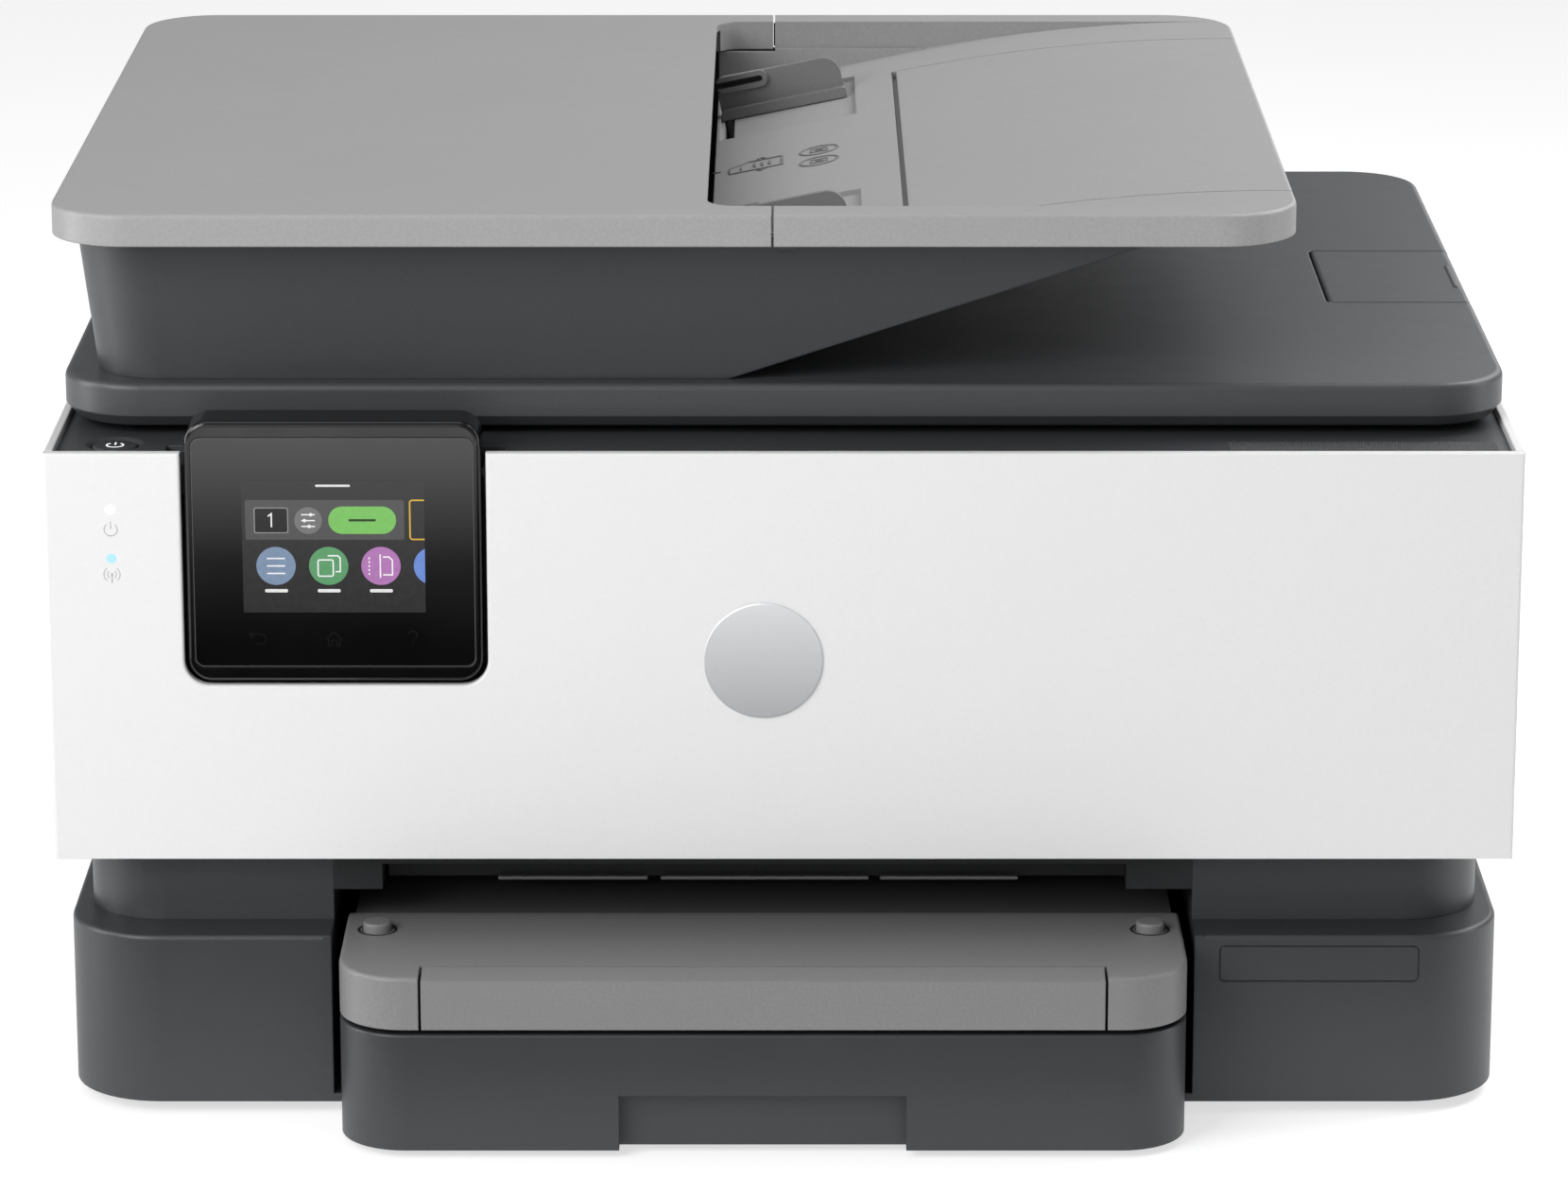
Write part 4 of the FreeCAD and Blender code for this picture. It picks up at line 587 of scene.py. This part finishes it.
def socket_face(name, u0, u1, top, mouth0, mouth1, shell):
    """The sleeve round a socket's mouth, and the lining inside it."""
    face_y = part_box("main_board")[1].y / MM
    sides = [[(u0, 16), (mouth0, 16), (mouth0, top), (u0, top)],
             [(mouth1, 16), (u1, 16), (u1, top), (mouth1, top)],
             [(mouth0, 16), (mouth1, 16), (mouth1, 18), (mouth0, 18)],
             [(mouth0, top - 2), (mouth1, top - 2), (mouth1, top), (mouth0, top)]]
    plate("socket_" + name, sides, rearward(face_y), 0.0, 0.3, shell, "chassis")
    socket_lining("socket_" + name + "_lining", mouth0 + 0.1, mouth1 - 0.1, 18.1, top - 2.1, 176.2,
                  face_y + 0.2, inner_black)


def socket_contacts(name, middle, top, gold):
    """Seven contact wires under the top of a socket's mouth."""
    wires = [[(u - 0.25, top - 3.4), (u + 0.25, top - 3.4), (u + 0.25, top - 2.5), (u - 0.25, top - 2.5)]
             for u in (middle + 1.1 * step for step in range(-3, 4))]
    plate("socket_" + name + "_contacts", wires, rearward(177.5), 0.0, 7.0, gold, "chassis")


def rear_sockets():
    """The sockets in the back of the base, and the pins of the mains inlet."""
    gold = metal("contact_gold", linear(214, 176, 92), 0.28, (1.0, 6.0, 1.0))
    socket_face("usb", -188, -174, 29, -186.6, -175.4, steel)
    tongue = [(-184.0, 21.0), (-178.0, 21.0), (-178.0, 24.4), (-184.0, 24.4)]
    plate("socket_usb_tongue", [tongue], rearward(177.0), 0.0, 8.5, nylon, "chassis")
    socket_face("network", -164, -147, 31, -162, -149, steel)
    socket_contacts("network", (-162 - 149) / 2, 31, gold)
    socket_face("phone", -138, -125, 29, -136.6, -126.4, inner_black)
    socket_contacts("phone", (-136.6 - 126.4) / 2, 29, gold)
    face_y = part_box("main_board")[1].y / MM
    socket_lining("mains_lining", 153.1, 172.9, 23.1, 34.9, 180.2, face_y + 0.1, inner_black)
    pins = [[(u - 1.0, v - 2.0), (u + 1.0, v - 2.0), (u + 1.0, v + 2.0), (u - 1.0, v + 2.0)]
            for u, v in ((158.0, 28.2), (163.0, 30.4), (168.0, 28.2))]
    plate("mains_pins", pins, rearward(180.3), 0.0, 7.0, steel, "chassis")


def painted_shade_button_rings():
    """A dark ring round each release button: painted shade in the line round it."""
    tray_top = level(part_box("output_tray")[1].z / MM)
    for side in ("left", "right"):
        low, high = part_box("release_button_" + side)
        u, v = (low.x + high.x) / 2 / MM, (low.y + high.y) / 2 / MM
        radius = (high.x - low.x) / 2 / MM + 0.35
        plate("painted_shade_button_ring_" + side, ribbon(disc(u, v, radius), 0.9, True), tray_top, -0.05, 0.04,
              inner_black, "output_tray")


def paper_path_strips():
    """Pale guide strips at the back of the output mouth."""
    for name, left, right in (("left", -88.0, -42.0), ("middle", -38.0, 26.0), ("right", 29.5, 72.0)):
        plate("path_strip_" + name, [round_box(left, right, 62.3, 63.3, 0.3)], front(-117.5), 0.0, 1.2,
              grey, "chassis")


def lid_cushion():
    """The white foam under the lid, with soft rounded edges and a slight pillow."""
    low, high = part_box("lid_pad")
    centre_x, centre_y = (low.x + high.x) / 2, (low.y + high.y) / 2
    soft = 0.0016
    bm = bmesh.new()
    rings = []
    for inset, rise in ((0.0, 1.0), (0.0, 0.45), (0.35, 0.15), (1.0, 0.0)):
        step = inset * soft
        edge = round_box(low.x + step, high.x - step, low.y + step, high.y - step, 0.003)
        rings.append([bm.verts.new((u, v, low.z + (high.z - low.z) * rise)) for u, v in edge])
    for lower, upper in zip(rings[1:], rings):
        for i in range(len(lower)):
            j = (i + 1) % len(lower)
            bm.faces.new((lower[i], lower[j], upper[j], upper[i]))
    bm.faces.new(rings[0])
    middle = [bm.verts.new((centre_x + (vert.co.x - centre_x) * 0.9,
                            centre_y + (vert.co.y - centre_y) * 0.9, low.z - 0.0001))
              for vert in rings[-1]]
    for i in range(len(middle)):
        j = (i + 1) % len(middle)
        bm.faces.new((rings[-1][j], rings[-1][i], middle[i], middle[j]))
    bm.faces.new(middle)
    bmesh.ops.recalc_face_normals(bm, faces=bm.faces[:])
    for face in bm.faces:
        face.smooth = len(face.verts) == 4
    pad = finished("lid_cushion", mesh_from("lid_cushion", bm), foam, "lid")
    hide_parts("lid_pad")


# ---- camera, floor and light ----
def aimed(thing, at):
    thing.rotation_euler = (Vector(at) - thing.location).to_track_quat("-Z", "Y").to_euler()


CAMERA_PLACE = (0.0, -1.9644, 0.6652)
CAMERA_TILT = 15.45         # degrees below level
CAMERA_LENS = 144.6         # millimetres, on a 36 mm sensor
MIDDLE = (0, 0, 0.14)
LID_RIGHT = (0.1, 0.1, 0.26)


def add_camera():
    data = bpy.data.cameras.new("camera")
    data.sensor_width = 36
    data.lens = CAMERA_LENS
    data.clip_start, data.clip_end = 0.05, 60
    camera = bpy.data.objects.new("camera", data)
    bpy.context.scene.collection.objects.link(camera)
    camera.location = CAMERA_PLACE
    camera.rotation_euler = (math.radians(90 - CAMERA_TILT), 0, 0)
    bpy.context.scene.camera = camera


def add_floor():
    material, tree, shader, place = new_material("studio_floor")
    cloud = noise(tree, place, 0.5, 2.0)
    tone = between(tree, ranged(tree, cloud, 0, 1), (0.48, 0.48, 0.48, 1), (0.51, 0.51, 0.51, 1))
    tree.links.new(tone, shader.inputs["Base Color"])
    tree.links.new(ranged(tree, cloud, 0.6, 0.7), shader.inputs["Roughness"])
    shader.inputs["Emission Color"].default_value = (1, 1, 1, 1)
    shader.inputs["Emission Strength"].default_value = 0.64
    bm = bmesh.new()
    bmesh.ops.create_circle(bm, cap_ends=True, radius=25, segments=96)
    data = mesh_from("floor", bm)
    data.materials.append(material)
    floor = bpy.data.objects.new("floor", data)
    bpy.context.scene.collection.objects.link(floor)


def add_light(name, place, at, width, height, power):
    data = bpy.data.lights.new(name, "AREA")
    data.shape = "RECTANGLE"
    data.size, data.size_y, data.energy = width, height, power
    light = bpy.data.objects.new(name, data)
    bpy.context.scene.collection.objects.link(light)
    light.location = place
    aimed(light, at)
    return light


def add_floor_card():
    """A dark card low in front of the printer that only reflections see: it grades the gloss panel."""
    near, far, half_width = -0.25, -1.05, 0.6
    material, tree, _, place = new_material("floor_card")
    parts = tree.nodes.new("ShaderNodeSeparateXYZ")
    tree.links.new(place, parts.inputs["Vector"])
    ramp = tree.nodes.new("ShaderNodeValToRGB")
    tree.links.new(ranged(tree, parts.outputs["Y"], 0, 1, near, far), ramp.inputs["Fac"])
    ramp.color_ramp.elements[0].position = 0.54
    ramp.color_ramp.elements[0].color = (0.002, 0.002, 0.002, 1)
    ramp.color_ramp.elements[1].position = 1.0
    ramp.color_ramp.elements[1].color = (1.0, 1.0, 1.0, 1)
    for stop, value in ((0.68, 0.09), (0.86, 0.62)):
        ramp.color_ramp.elements.new(stop).color = (value, value, value, 1)
    glow = tree.nodes.new("ShaderNodeEmission")
    tree.links.new(ramp.outputs["Color"], glow.inputs["Color"])
    glow.inputs["Strength"].default_value = 2.3
    tree.links.new(glow.outputs["Emission"], tree.nodes["Material Output"].inputs["Surface"])
    bm = bmesh.new()
    corners = ((-half_width, far), (half_width, far), (half_width, near), (-half_width, near))
    bm.faces.new([bm.verts.new((x, y, 0.002)) for x, y in corners])
    data = mesh_from("floor_card", bm)
    data.materials.append(material)
    card = bpy.data.objects.new("floor_card", data)
    bpy.context.scene.collection.objects.link(card)
    card.visible_camera = card.visible_diffuse = card.visible_shadow = card.visible_transmission = False


def add_studio():
    world = bpy.data.worlds.new("studio")
    bpy.context.scene.world = world
    world.use_nodes = True
    world.node_tree.nodes["Background"].inputs["Color"].default_value = (1, 1, 1, 1)
    world.node_tree.nodes["Background"].inputs["Strength"].default_value = 0.30
    add_light("key", (-0.85, -1.05, 0.9), MIDDLE, 0.8, 0.8, 15)
    add_light("fill", (-0.9, -3.0, 1.1), MIDDLE, 1.8, 1.0, 8)
    add_light("top", (-0.3, 0.0, 2.1), MIDDLE, 1.8, 1.6, 10)
    add_light("top_right", (0.85, 0.35, 1.1), LID_RIGHT, 0.8, 0.8, 14)
    for name, x, energy in (("strip_left", -1.0, 5), ("strip_right", 1.0, 2.5)):
        strip = add_light(name, (x, -0.15, 0.42), (0, 0, 0.12), 0.25, 0.8, energy)
        strip.visible_diffuse = False
    sheen = add_light("sheen", (0.7, 1.0, 0.62), LID_RIGHT, 0.7, 0.5, 2)
    sheen.visible_diffuse = False


dress_nodes()
display()
touch_marks()
painted_highlight_glass_rim()
door_lamps()
button_sign()
deck_grip()
tray_icons()
painted_shade_guide_slot()
seam_tongue()
rear_sockets()
painted_shade_button_rings()
paper_path_strips()
lid_cushion()
add_camera()
add_floor()
add_floor_card()
add_studio()
bpy.context.scene.view_settings.view_transform = "Standard"
